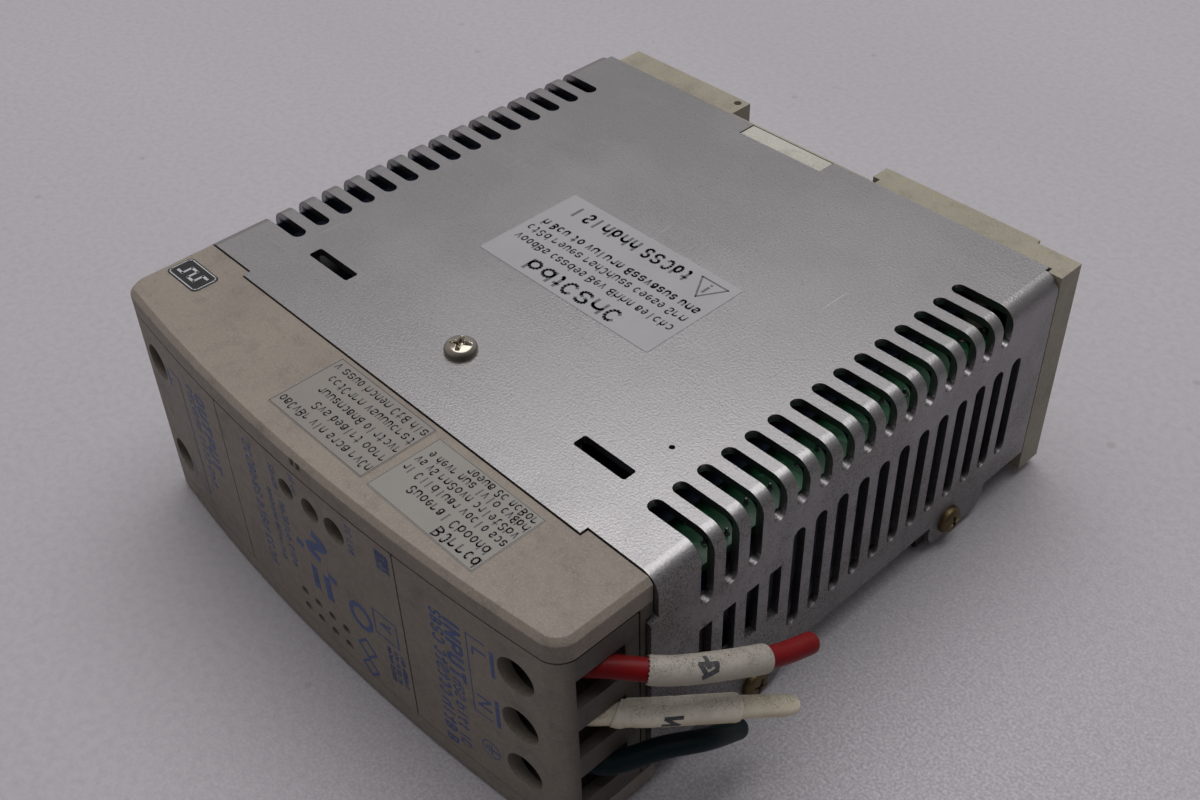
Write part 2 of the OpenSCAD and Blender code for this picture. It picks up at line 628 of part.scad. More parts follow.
module secondary_heat_sink() color([0.70, 0.71, 0.72]) box([-22, -20], [-10, 50], [6, comp_top]);
module bridge_rectifier() color([0.12, 0.12, 0.12]) box([29, 49], [7.2, 10.9], [16, 34.5]);
module power_transistor() color([0.12, 0.12, 0.12]) box([11, 26.5], [6, 10.9], [14, 34.5]);
module output_rectifier() color([0.12, 0.12, 0.12]) box([-26.8, -22.1], [6, 21.5], [14, 34.5]);
module varistor() color([0.15, 0.30, 0.62]) translate([0, -20, 28.6]) rod_x(7, 47.2, 51.4);

module control_board() color([0.12, 0.38, 0.22]) {
  box([-13, -11.4], [-24, 4], [12, comp_top]);
  box([-11.5, -9.9], [-18, -10], [18, 28]);
}

module lamp(x, r) translate([x, 0, lamp_z]) {
  rod_y(r, -59.4, -54);
  rod_y(r + 0.35, -54.4, -53.2);
  for (s = [-1, 1]) {
    box([s * 1.2 - 0.25, s * 1.2 + 0.25], [-53.3, -52.8], [-1.3, 0.25]);
    box([s * 1.2 - 0.25, s * 1.2 + 0.25], [-53.3, -46], [-1.3, -0.8]);
  }
}

module led_dc_ok() color([0.30, 0.60, 0.32]) lamp(lamp_x[0], 1.5);
module led_dc_low() color([0.65, 0.22, 0.18]) lamp(lamp_x[1], 1.5);

module trimmer_body() color([0.15, 0.22, 0.50]) difference() {
  union() {
    box([trim_x - 3.3, trim_x + 3.3], [-57.8, -53.2], [lamp_z - 3.3, lamp_z + 3.3]);
    for (s = [-1, 1]) box([trim_x + s * 1.3 - 0.3, trim_x + s * 1.3 + 0.3], [-53.3, -46], [35.6, 36.2]);
  }
  translate([trim_x, 0, lamp_z]) rod_y(1.2 + fit, -59, -55);
}

module trimmer_rotor() color([0.85, 0.85, 0.80]) translate([trim_x, 0, lamp_z]) difference() {
  union() {
    rod_y(2.1, -59.9, -58);
    rod_y(1.2, -58 - eps, -55.2);
  }
  box([-1.8, 1.8], [-61, -59.2], [-0.35, 0.35]);
}

// -------------------------------------------------------------- terminals
module terminal_plate(i, leg) translate([0, 0, term_z[i]]) difference() {
  union() {
    box([cell_x[0] + 0.8, 52], [clamp_y, clamp_y + plate_t], [-3.9, 3.9]);
    box([cell_x[0] + 0.8, cell_x[0] + 0.8 + leg_t], [clamp_y, leg_rear[leg]], [-2, 1.2]);
    box([cell_x[0] + 0.8, cell_x[0] + 0.8 + leg_t], [leg_rear[leg] - 1.6, leg_rear[leg]],
      [-2, leg_top - term_z[i]]);
  }
  translate([term_x, 0, 0]) rod_y(screw_r + fit, clamp_y - 1, clamp_y + plate_t + 1);
}

module input_plates() color([0.80, 0.76, 0.60]) for (i = [0 : 2]) terminal_plate(i, 2 - i);
module output_plates() color([0.80, 0.76, 0.60]) mirror([1, 0, 0]) {
  terminal_plate(2, 0);
  terminal_plate(0, 2);
}

module washer(s, i) color([0.80, 0.78, 0.70]) translate([s * term_x, 0, term_z[i]]) difference() {
  box([-washer_a, washer_a], [clamp_y - clamp_gap - washer_t, clamp_y - clamp_gap], [-washer_a, washer_a]);
  rod_y(screw_r + 0.1, clamp_y - clamp_gap - washer_t - 1, clamp_y - clamp_gap + 1);
}

module clamp_screw(s, i) color([0.82, 0.80, 0.72]) {
  seat = clamp_y - clamp_gap - washer_t - 0.06;
  translate([s * term_x, 0, term_z[i]]) difference() {
    union() {
      rod_y(head_r, seat - head_t, seat);
      rod_y(screw_r, seat - eps, shank_end);
    }
    translate([0, seat - head_t, 0]) rotate([90, 0, 0]) rotate([0, 0, 20]) cross_recess(4.2, 0.9, 1.3);
  }
}

module screw_live() clamp_screw(1, 2);
module screw_neutral() clamp_screw(1, 1);
module screw_earth() clamp_screw(1, 0);
module screw_plus() clamp_screw(-1, 2);
module screw_minus() clamp_screw(-1, 0);
module washer_live() washer(1, 2);
module washer_neutral() washer(1, 1);
module washer_earth() washer(1, 0);
module washer_plus() washer(-1, 2);
module washer_minus() washer(-1, 0);

// -------------------------------------------------------------- fasteners
function screw_m3() = 1.5;

// pan head screw pointing down from z = 0
module pan_screw(head, tall, shank) difference() {
  union() {
    cylinder(r = head, h = tall * 0.55);
    translate([0, 0, tall * 0.55 - eps]) cylinder(r1 = head, r2 = head * 0.62, h = tall * 0.45);
    translate([0, 0, -shank]) cylinder(r = screw_m3(), h = shank + eps);
  }
  translate([0, 0, tall]) rotate([0, 0, 35]) cross_recess(3, 0.7, 1.1);
}

module cover_screw() color([0.80, 0.80, 0.78])
  translate([cover_screw_at[0], cover_screw_at[1], body_w]) pan_screw(2.85, 1.8, 7.6);
module end_screws() color([0.82, 0.76, 0.60]) both_ends() for (y = ear_screw_y)
  translate([half_l, y, ear_screw_z]) rotate([0, 90, 0]) pan_screw(2.75, 1.7, 3.4);

// ----------------------------------------------------------------- labels
module caution_label() color([0.78, 0.78, 0.78]) box([-20.5, 21.9], [-8.2, 15.1], [body_w, body_w + film_t]);
module bezel_label_a() color([0.72, 0.70, 0.66]) box([-12.5, 12.2], [-58.5, -43.9], [bezel_w, bezel_w + film_t]);
module bezel_label_b() color([0.72, 0.70, 0.66]) box([13.8, 38.3], [-58.7, -44.6], [bezel_w, bezel_w + film_t]);

module badge() color([0.05, 0.05, 0.05]) {
  r = 1;
  x = [-55, -45.6];
  y = [-51.9, -46.5];
  z = [bezel_w, bezel_w + 0.15];
  box([x[0] + r, x[1] - r], y, z);
  box(x, [y[0] + r, y[1] - r], z);
  for (u = [x[0] + r, x[1] - r], v = [y[0] + r, y[1] - r])
    translate([u, v, z[0]]) cylinder(r = r, h = z[1] - z[0]);
}

// ------------------------------------------------------------------ wires
wire_sides = 8;
sleeve_sides = 10;
module red_wire() color([0.75, 0.05, 0.06]) cord(red_path, wire_d / 2, wire_sides);
module white_wire() color([0.85, 0.83, 0.76]) cord(white_path, wire_d / 2, wire_sides);
module green_wire() color([0.03, 0.22, 0.20]) cord(green_path, wire_d / 2, wire_sides);
module red_sleeve() color([0.90, 0.89, 0.84])
  sleeve(red_path, red_sleeve_span, sleeve_d / 2, wire_d / 2 + sleeve_bore, sleeve_sides);
module white_sleeve() color([0.90, 0.89, 0.84])
  sleeve(white_path, white_sleeve_span, sleeve_d / 2, wire_d / 2 + sleeve_bore, sleeve_sides);

module bare_ends() color([0.78, 0.50, 0.30]) for (w = [[red_pts, 2], [white_pts, 1], [green_pts, 0]]) {
  y = clamp_y - clamp_gap / 2;
  z = term_z[w[1]] + 2.75;
  cord([[w[0][0][0] - 0.1, w[0][0][1], w[0][0][2]], [51.2, y, (w[0][0][2] + z) / 2], [50, y, z], [45.6, y, z]],
    strand_d / 2, wire_sides);
}

side_cover();
base_plate();
bezel_frame();
input_block();
output_block();
front_plate();
rear_body();  // rear_moulding
din_latch();
latch_spring();
rear_retainer();
main_pcb();
insulator_top();
insulator_liner();
pcb_spacers();
transformer_core();
transformer_winding();
common_mode_choke();
output_choke();
bulk_capacitor();
output_capacitors();
x_capacitor();
fuse();
fuse_clips();
bridge_rectifier();
primary_heat_sink();
secondary_heat_sink();
power_transistor();
output_rectifier();
varistor();
control_board();
led_dc_ok();
led_dc_low();
trimmer_body();
trimmer_rotor();
input_plates();
output_plates();
screw_live();
screw_neutral();
screw_earth();
screw_plus();
screw_minus();
washer_live();
washer_neutral();
washer_earth();
washer_plus();
washer_minus();
cover_screw();
end_screws();
caution_label();
bezel_label_a();
bezel_label_b();
badge();
red_wire();
white_wire();
green_wire();
red_sleeve();
white_sleeve();
bare_ends();
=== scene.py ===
"""Looks of the DIN rail power supply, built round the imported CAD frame.

Shapes are given in millimetres and turned into metres as their meshes are made. Materials, the
camera and the light are in metres.
"""

import math
import random

import bpy
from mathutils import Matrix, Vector


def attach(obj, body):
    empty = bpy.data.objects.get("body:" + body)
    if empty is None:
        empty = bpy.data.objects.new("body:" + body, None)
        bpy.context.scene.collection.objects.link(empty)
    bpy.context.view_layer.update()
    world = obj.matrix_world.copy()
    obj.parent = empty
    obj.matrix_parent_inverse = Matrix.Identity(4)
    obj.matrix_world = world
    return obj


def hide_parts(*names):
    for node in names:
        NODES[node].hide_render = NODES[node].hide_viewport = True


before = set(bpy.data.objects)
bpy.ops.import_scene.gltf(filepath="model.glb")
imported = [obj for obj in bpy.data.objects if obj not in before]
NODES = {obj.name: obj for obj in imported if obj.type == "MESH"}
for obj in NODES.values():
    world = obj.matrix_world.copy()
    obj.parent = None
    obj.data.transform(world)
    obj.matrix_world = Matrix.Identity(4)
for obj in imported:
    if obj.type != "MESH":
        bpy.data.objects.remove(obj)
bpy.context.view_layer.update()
MM = 0.001
HALF_L = 57.8  # half the length over the cover's end walls
SHEET_T = 1.5  # sheet of the cover
BODY_W = 47.6  # width over the metal cover
BEZEL_W = 47.3  # width of the plastic front
BAND_W = 4.2  # width of each long band of the front
CROWN_R, CROWN_Y = 418.0, 354.8  # curve of the front and its centre
COVER_SCREW = (0, -29.2, BODY_W)
END_SCREW_Y, END_SCREW_Z = (-19.5, 32.9), 5.6
TERM_SEAT_Y = -55.86  # where the terminal screws' heads sit
BOARD_TOP = 38.09
LABEL_T, BADGE_T = 0.08, 0.12
TERM_Z = {"live": 34.98, "neutral": 23.65, "earth": 12.32, "plus": 34.98, "minus": 12.32}
TERM_X = {"live": 48.4, "neutral": 48.4, "earth": 48.4, "plus": -48.4, "minus": -48.4}


# ------------------------------------------------------------------ camera and wires
def make_camera():
    data = bpy.data.cameras.new("camera")
    data.lens, data.sensor_width = 43.1, 36
    data.shift_x, data.shift_y = 0.0070, -0.0112
    data.clip_start, data.clip_end = 0.01, 20
    cam = bpy.data.objects.new("camera", data)
    cam.location = (0.149884, -0.134658, 0.196168)
    cam.rotation_euler = [math.radians(a) for a in (49.136, 1.621, 46.85)]
    bpy.context.scene.collection.objects.link(cam)
    bpy.context.scene.camera = cam


def scaled(colour, k):
    return tuple(c * k for c in colour)


def mesh_piece(name, verts, faces, smooth=True):
    """A new mesh object from points in millimetres."""
    data = bpy.data.meshes.new(name)
    data.from_pydata([Vector(v) * MM for v in verts], [], faces)
    data.validate()
    data.update()
    ob = bpy.data.objects.new(name, data)
    bpy.context.scene.collection.objects.link(ob)
    if smooth:
        data.polygons.foreach_set("use_smooth", [True] * len(data.polygons))
    return ob


def catmull(points, steps):
    """The CAD route's curve through its given points."""
    p = [Vector(q) for q in points]
    p = [2 * p[0] - p[1]] + p + [2 * p[-1] - p[-2]]
    out = []
    for i in range(1, len(p) - 2):
        a, b, c, d = p[i - 1 : i + 3]
        for j in range(steps):
            t = j / steps
            out.append(0.5 * (2 * b + (c - a) * t + (2 * a - 5 * b + 4 * c - d) * t * t
                              + (3 * b - a - 3 * c + d) * t ** 3))
    return out + [p[-2]]


def length_of(path):
    return sum((b - a).length for a, b in zip(path, path[1:]))


def point_at(path, far):
    """The point at a distance along a path."""
    run = 0.0
    for a, b in zip(path, path[1:]):
        step = (b - a).length
        if run < far <= run + step:
            return a.lerp(b, (far - run) / step)
        run += step


def frames(path):
    """Direction and two steady side vectors at each point of a path."""
    side = Vector((0, 0.2, 1))
    out = []
    for i in range(len(path)):
        t = (path[min(i + 1, len(path) - 1)] - path[max(i - 1, 0)]).normalized()
        side = (side - side.dot(t) * t).normalized()
        out.append((t, side.copy(), t.cross(side)))
    return out


def tube(path, radius, sides=24, hole=None):
    """Vertices and faces of a tube; radius(s, angle) is in mm at share s of its length."""
    verts, faces, n = [], [], len(path)
    total, base = length_of(path), frames(path)
    for shell in [radius] + ([hole] if hole else []):
        run = 0.0
        for i, p in enumerate(path):
            run += (p - path[i - 1]).length if i else 0.0
            for k in range(sides):
                a = 2 * math.pi * k / sides
                r = shell(run / total, a)
                verts.append(p + r * (math.cos(a) * base[i][1] + math.sin(a) * base[i][2]))
    def quads(start, flip):
        for i in range(n - 1):
            for k in range(sides):
                a, b = start + i * sides + k, start + i * sides + (k + 1) % sides
                q = (a, b, b + sides, a + sides)
                faces.append(q[::-1] if flip else q)
    quads(0, False)
    last = (n - 1) * sides
    if hole:
        m = n * sides
        quads(m, True)
        for k in range(sides):
            j = (k + 1) % sides
            faces.append((k, m + k, m + j, j))
            faces.append((last + j, m + last + j, m + last + k, last + k))
    else:
        faces.append(tuple(range(sides))[::-1])
        faces.append(tuple(last + k for k in range(sides)))
    return verts, faces


def rounded_end(r, total, cap):
    """Wire radius with both ends rounded over the last cap mm."""
    def radius(s, a):
        d = min(s * total, (1 - s) * total)
        if d >= cap:
            return r
        t = 1 - d / cap
        return r * (0.55 + 0.45 * math.sqrt(max(0.0, 1 - t * t)))
    return radius


def fine_ends(path, cap, steps=6):
    """The same path with extra points close to both ends, for their rounding."""
    total = length_of(path)
    extra = [cap * (1 - math.cos(math.pi / 2 * i / steps)) for i in range(1, steps)]
    cuts = sorted(extra + [total - e for e in extra])
    keep, run, marks = [], 0.0, [0.0]
    for a, b in zip(path, path[1:]):
        run += (b - a).length
        marks.append(run)
    marks = sorted([m for m in marks if m == 0 or cap < m < total - cap] + cuts + [total])
    for m in marks:
        keep.append(path[0].copy() if m <= 0 else point_at(path, m))
    return keep


ROUTES = {  # points of the routes, as in the CAD source
    "red": [(53.4, -53.6, 36.1), (57.2, -50.2, 36.3), (62.4, -44.7, 35.2),
            (65.5, -37.2, 32.4), (67.9, -27.6, 28.3), (68.8, -19.6, 25.5)],
    "white": [(53.4, -53.6, 25), (57.2, -49.6, 25), (61.6, -45, 25.3),
              (66.7, -35, 21.8), (70.9, -25.1, 17.2)],
    "green": [(53.2, -53.8, 13.5), (57.2, -50.5, 13.7), (61.9, -44.7, 16.6),
              (65, -38.6, 15.8), (64.5, -30.1, 10)],
}
FINE = 40  # rings per route interval of a sleeve
SLEEVES = {"red": (66, 152), "white": (46, 122)}  # stretch of the fine route under a sleeve
WIRE_R, SLEEVE_R, BORE_R, STRAND_R = 1.75, 2.2, 1.92, 0.85


def make_wire(colour):
    path = catmull(ROUTES[colour], 10)
    total = length_of(path)
    cap = 1.0
    path = fine_ends(path, cap)
    shape = rounded_end(WIRE_R, total, cap)
    if colour == "white":  # its tip is necked and ends in a small nub
        def radius(s, a):
            d = (1 - s) * total
            neck = 0.16 * max(0.0, 1 - d / 1.9) ** 0.5 if d < 1.9 else 0.0
            return shape(s, a) * (1 - 0.05 * max(0.0, (s - 0.75) / 0.25) - neck)
    else:
        def radius(s, a):
            return shape(s, a) * (1 + 0.008 * math.sin(9 * s + 2 * a))
    ob = mesh_piece(f"{colour}_insulation", *tube(path, radius, 28))
    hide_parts(f"{colour}_wire")
    return ob


def wrinkle(s, ang, seed):
    """Small creases of a soft sleeve, about 1 at their deepest."""
    rng = random.Random(seed)
    deep = 0.0
    for _ in range(9):
        at, turn = rng.uniform(0.0, 0.42), rng.uniform(0, 6.28)
        lean, wide = rng.uniform(-0.09, 0.09), rng.uniform(0.010, 0.022)
        d = (s - at - lean * math.sin(ang - turn)) / wide
        deep = max(deep, math.exp(-d * d) * (0.5 + 0.5 * math.cos(ang - turn)) ** 2)
    return deep


def make_sleeve(colour, seed):
    a, b = SLEEVES[colour]
    path = catmull(ROUTES[colour], FINE)[a : b + 1]
    sides = 48 if colour == "red" else 36
    def outer(s, ang):
        r = SLEEVE_R * (0.985 + 0.012 * math.cos(2 * ang + 3 * s) + 0.03 * s ** 3)
        r -= (0.17 if colour == "white" else 0.05) * wrinkle(s, ang, seed)
        return r - 0.10 * max(0.0, 1 - s / 0.02) - 0.08 * max(0.0, 1 - (1 - s) / 0.02)
    verts, faces = tube(path, outer, sides, lambda s, ang: BORE_R)
    base = frames(path)
    rings = len(path)
    for shell in range(2):  # the start is cut by hand: scalloped on red, slanting on white
        for i in range(rings):
            fade = max(0.0, 1 - i / (0.16 * rings))
            if not fade:
                break
            for k in range(sides):
                ang = 2 * math.pi * k / sides
                if colour == "red":
                    slip = 0.26 * abs(math.sin(ang * 9)) * fade ** 3
                else:
                    slip = -1.9 * (0.5 - 0.5 * math.cos(ang + 0.5)) * fade
                verts[(shell * rings + i) * sides + k] += base[i][0] * slip
    ob = mesh_piece(f"{colour}_marker_sleeve", verts, faces)
    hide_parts(f"{colour}_sleeve")
    return ob, path


make_camera()
wires = {c: make_wire(c) for c in ROUTES}
sleeves = {c: make_sleeve(c, 11 + i) for i, c in enumerate(SLEEVES)}


# ------------------------------------------------------------------ materials
class Finish:
    """A procedural material on one Principled shader, in object coordinates."""

    def __init__(self, name, colour, rough=0.5, metal=0.0, **sockets):
        self.mat = bpy.data.materials.new(name)
        self.mat.use_nodes = True
        self.tree = self.mat.node_tree
        self.shader = next(n for n in self.tree.nodes if n.type == "BSDF_PRINCIPLED")
        self.place = self.add("ShaderNodeTexCoord").outputs["Object"]
        self.xyz = self.add("ShaderNodeSeparateXYZ")
        self.tree.links.new(self.place, self.xyz.inputs[0])
        self.shader.inputs["Metallic"].default_value = metal
        for key, value in sockets.items():
            self.shader.inputs[key.replace("_", " ")].default_value = value
        self.colour, self.rough, self.normal = (*colour, 1.0), rough, None

    def add(self, kind, **props):
        node = self.tree.nodes.new(kind)
        for key, value in props.items():
            setattr(node, key, value)
        return node

    def feed(self, socket, value):
        if isinstance(value, bpy.types.NodeSocket):
            self.tree.links.new(value, socket)
        else:
            socket.default_value = value

    def calc(self, op, a, b=0.0, clamp=False):
        node = self.add("ShaderNodeMath", operation=op, use_clamp=clamp)
        self.feed(node.inputs[0], a)
        self.feed(node.inputs[1], b)
        return node.outputs[0]

    def mul(self, a, b):
        return self.calc("MULTIPLY", a, b)

    def span(self, value, low, high, a=0.0, b=1.0):
        """Carries value from low..high over to a..b, held at both ends."""
        node = self.add("ShaderNodeMapRange")
        for i, v in enumerate((value, low, high, a, b)):
            self.feed(node.inputs[i], v)
        return node.outputs[0]

    def where(self, stretch=(1, 1, 1), shift=0.0):
        node = self.add("ShaderNodeMapping")
        self.feed(node.inputs["Vector"], self.place)
        node.inputs["Scale"].default_value = stretch
        node.inputs["Location"].default_value = (shift, shift * 1.7, -shift)
        return node.outputs[0]

    def noise(self, scale, detail=2.0, rough=0.5, stretch=(1, 1, 1), shift=0.0, warp=0.0):
        node = self.add("ShaderNodeTexNoise")
        self.feed(node.inputs["Vector"], self.where([s * scale for s in stretch], shift))
        node.inputs["Scale"].default_value = 1.0
        node.inputs["Detail"].default_value = detail
        node.inputs["Roughness"].default_value = rough
        node.inputs["Distortion"].default_value = warp
        return node.outputs[0]

    def cells(self, scale, stretch=(1, 1, 1), shift=0.0, feature="F1"):
        node = self.add("ShaderNodeTexVoronoi", feature=feature)
        self.feed(node.inputs["Vector"], self.where([s * scale for s in stretch], shift))
        node.inputs["Scale"].default_value = 1.0
        return node.outputs["Distance"]

    def tint(self, share, colour):
        """Mixes a colour over what is there, by a share from 0 to 1."""
        node = self.add("ShaderNodeMix", data_type="RGBA", blend_type="MIX")
        self.feed(node.inputs[0], share)
        self.feed(node.inputs[6], self.colour)
        self.feed(node.inputs[7], (*colour, 1.0))
        self.colour = node.outputs[2]

    def bump(self, height, depth_mm):
        node = self.add("ShaderNodeBump")
        node.inputs["Distance"].default_value = depth_mm * MM
        node.inputs["Strength"].default_value = 1.0
        self.feed(node.inputs["Height"], height)
        if self.normal:
            self.feed(node.inputs["Normal"], self.normal)
        self.normal = node.outputs[0]

    def specks(self, scale, size, share, colour, shift):
        """Small scattered marks of a colour; share is how strong they are."""
        spot = self.span(self.cells(scale, shift=shift), size * 0.6, size, 1.0, 0.0)
        pick = self.span(self.noise(scale * 0.23, 1, shift=shift + 3), 0.5, 0.56)
        self.tint(self.mul(self.mul(spot, pick), share), colour)

    def done(self):
        self.feed(self.shader.inputs["Base Color"], self.colour)
        self.feed(self.shader.inputs["Roughness"], self.rough)
        if self.normal:
            self.feed(self.shader.inputs["Normal"], self.normal)
        return self.mat


def simple(name, colour, rough=0.45, metal=0.0, grain=900, depth=0.01, vary=0.12,
           stretch=(1, 1, 1), dirt=0.15, **sockets):
    """Moulded or metal finish with colour drift, fine grain and faint dirt."""
    f = Finish(name, colour, rough, metal, **sockets)
    drift = f.noise(grain * 0.06, 3, 0.6, shift=1.3)
    f.tint(f.span(drift, 0.35, 0.65), scaled(colour, 1 - vary))
    fine = f.noise(grain, 3, 0.6, stretch)
    f.tint(f.span(fine, 0.62, 0.8, 0, dirt), scaled(colour, 0.45))
    f.rough = f.span(fine, 0.3, 0.7, max(0.05, rough - 0.07), min(1.0, rough + 0.07))
    f.bump(fine, depth)
    return f.done()


def aluminium(name, colour=(0.286, 0.276, 0.280), rough=0.32):
    """Satin sheet: faint streaks along X, fine grain, scratches, dirt on the ends, painted shade on
    its inner faces.
    """
    f = Finish(name, colour, rough, 1.0)
    streak = f.noise(1, 4, 0.65, (55, 2600, 90), 2.0)
    broad = f.noise(1, 3, 0.6, (9, 160, 22), 5.0)
    cloud = f.noise(38, 4, 0.6, shift=7.0)
    peel = f.noise(2300, 2, 0.5, shift=0.4)
    f.tint(f.span(streak, 0.35, 0.7, 0.0, 0.06), scaled(colour, 0.76))
    f.tint(f.span(broad, 0.4, 0.7, 0.0, 0.08), scaled(colour, 0.84))
    f.tint(f.span(cloud, 0.5, 0.75, 0.0, 0.22), scaled(colour, 0.74))
    f.tint(f.span(peel, 0.42, 0.62, 0.0, 0.38), scaled(colour, 0.72))
    across, height = f.calc("ABSOLUTE", f.xyz.outputs[0]), f.xyz.outputs[2]
    side = f.span(across, (HALF_L - 1.6) * MM, (HALF_L - 0.4) * MM)
    front = f.span(f.xyz.outputs[1], 0.030, -0.040)
    low = f.span(height, 0.046, 0.012)
    patch = f.span(f.noise(130, 4, 0.65, shift=9.0), 0.38, 0.62)
    grime = f.calc("ADD", 0.30, f.mul(low, 0.35))
    grime = f.calc("ADD", grime, f.mul(front, 0.45))
    grime = f.calc("MULTIPLY", f.mul(grime, side), f.calc("ADD", 0.45, patch), True)
    edge = f.span(f.xyz.outputs[1], -0.031, -0.0436, 0.0, 0.30)
    reach = f.calc("ADD", grime, f.mul(edge, patch), True)
    dust = f.noise(5200, 2, 0.75, shift=3.0)
    coarse = f.noise(1700, 3, 0.7, shift=6.0)
    f.tint(f.mul(f.span(coarse, 0.50, 0.64), f.mul(reach, 0.45)),
           (0.115, 0.10, 0.09))
    f.tint(f.mul(f.span(dust, 0.52, 0.60), f.mul(reach, 0.95)),
           (0.045, 0.038, 0.033))
    f.specks(760, 0.13, 0.5, (0.08, 0.07, 0.06), 4.0)
    nick = f.span(f.noise(1, 1, 0.5, (1500, 46, 40), 11.0, warp=0.6), 0.755, 0.795)
    f.tint(f.mul(nick, f.span(f.noise(60, 1, shift=2.2), 0.52, 0.62, 0.0, 0.35)),
           (0.62, 0.61, 0.61))
    # painted shade: the faces inside the sheet, seen through the slots, are painted near black
    painted_inner_shade = f.mul(f.calc("LESS_THAN", across, (HALF_L - SHEET_T + 0.03) * MM),
                    f.calc("LESS_THAN", height, (BODY_W - SHEET_T + 0.03) * MM))
    f.tint(f.mul(painted_inner_shade, 0.9), (0.02, 0.018, 0.017))
    f.rough = f.calc("ADD", f.span(streak, 0.3, 0.7, rough - 0.02, rough + 0.02),
                     f.calc("ADD", f.span(cloud, 0.45, 0.75, 0.0, 0.08),
                            f.mul(reach, 0.16)))
    f.bump(streak, 0.005)
    f.bump(peel, 0.032)
    f.bump(f.mul(dust, reach), 0.02)
    return f.done()


def front_plastic(name, colour=(0.217, 0.183, 0.152), recess=False):
    """Grained plastic with dust and smears; recess darkens the front's openings."""
    f = Finish(name, colour, 0.55, 0.0, Specular_IOR_Level=0.35)
    drift = f.noise(45, 4, 0.6, shift=2.0)
    grain = f.noise(2600, 3, 0.6)
    coarse = f.noise(700, 3, 0.6, shift=4.0)
    grime = f.noise(190, 5, 0.7, shift=8.0)
    dust = f.noise(5600, 2, 0.75, shift=5.0)
    f.tint(f.span(drift, 0.4, 0.7, 0, 0.5), scaled(colour, 0.86))
    f.tint(f.span(coarse, 0.52, 0.75, 0, 0.25), scaled(colour, 0.68))
    f.tint(f.span(grime, 0.52, 0.70, 0, 0.50), scaled(colour, 0.50))
    smear = f.noise(34, 3, 0.6, (1.0, 0.5, 1.0), 15.0)
    used = f.mul(f.span(smear, 0.46, 0.66), f.span(grime, 0.3, 0.6, 0.35, 1.0))
    f.tint(f.mul(used, 0.45), scaled(colour, 0.52))
    f.tint(f.span(grain, 0.50, 0.70, 0, 0.60), scaled(colour, 1.28))
    f.tint(f.span(dust, 0.57, 0.66, 0, 0.46), scaled(colour, 0.35))
    f.specks(900, 0.11, 0.6, (0.06, 0.05, 0.04), 6.0)
    if recess:  # dust and shade gather in the openings of the curved front
        across, height = f.calc("ABSOLUTE", f.xyz.outputs[0]), f.xyz.outputs[2]
        sag = f.mul(f.mul(across, across), 0.5 / (CROWN_R * MM))
        depth = f.calc("SUBTRACT", f.xyz.outputs[1], (CROWN_Y - CROWN_R) * MM)
        depth = f.calc("SUBTRACT", depth, sag)
        deep = f.mul(f.span(depth, 0.0008, 0.0032),
                      f.calc("LESS_THAN", across, (HALF_L - 0.5) * MM))
        deep = f.mul(deep, f.calc("GREATER_THAN", height, (BAND_W + 0.2) * MM))
        deep = f.mul(deep, f.calc("LESS_THAN", height, (BEZEL_W - BAND_W) * MM))
        f.tint(f.mul(deep, 0.85), scaled(colour, 0.16))
    f.rough = f.span(coarse, 0.3, 0.7, 0.47, 0.63)
    f.bump(grain, 0.018)
    f.bump(coarse, 0.015)
    return f.done()


def film_paper(name, colour, rough=0.5):
    """Label stock: cloudy, finely mottled and slightly wavy."""
    f = Finish(name, colour, rough)
    cloud = f.noise(120, 4, 0.6, shift=3.0)
    fine = f.noise(3200, 2, 0.6)
    f.tint(f.span(cloud, 0.4, 0.7, 0, 0.5), scaled(colour, 0.88))
    f.tint(f.span(fine, 0.5, 0.75, 0, 0.3), scaled(colour, 1.15))
    f.specks(800, 0.10, 0.5, (0.08, 0.07, 0.06), 5.0)
    f.rough = f.span(fine, 0.3, 0.7, rough - 0.08, rough + 0.08)
    f.bump(fine, 0.008)
    f.bump(cloud, 0.05)
    return f.done()


def ink(name, colour):
    """Printed ink, worn thin in places."""
    f = Finish(name, colour)
    worn = f.noise(1400, 3, 0.7)
    f.tint(f.span(worn, 0.5, 0.72, 0, 0.55), tuple(min(1, c * 1.6 + 0.05) for c in colour))
    f.bump(worn, 0.005)
    return f.done()


def board(name):
    """Solder-masked laminate with copper tracks showing through."""
    green, track = (0.006, 0.050, 0.022), (0.013, 0.095, 0.036)
    f = Finish(name, green, 0.35, Coat_Weight=0.25, Coat_Roughness=0.2)
    lanes = f.cells(210, (1.0, 1.7, 1.0), 2.0, "DISTANCE_TO_EDGE")
    copper = f.span(lanes, 0.16, 0.2)
    f.tint(copper, track)
    weave = f.noise(1800)
    f.tint(f.span(weave, 0.5, 0.8, 0, 0.3), scaled(green, 1.5))
    f.rough = f.span(weave, 0.3, 0.7, 0.28, 0.42)
    f.bump(copper, 0.035)
    f.bump(weave, 0.006)
    return f.done()


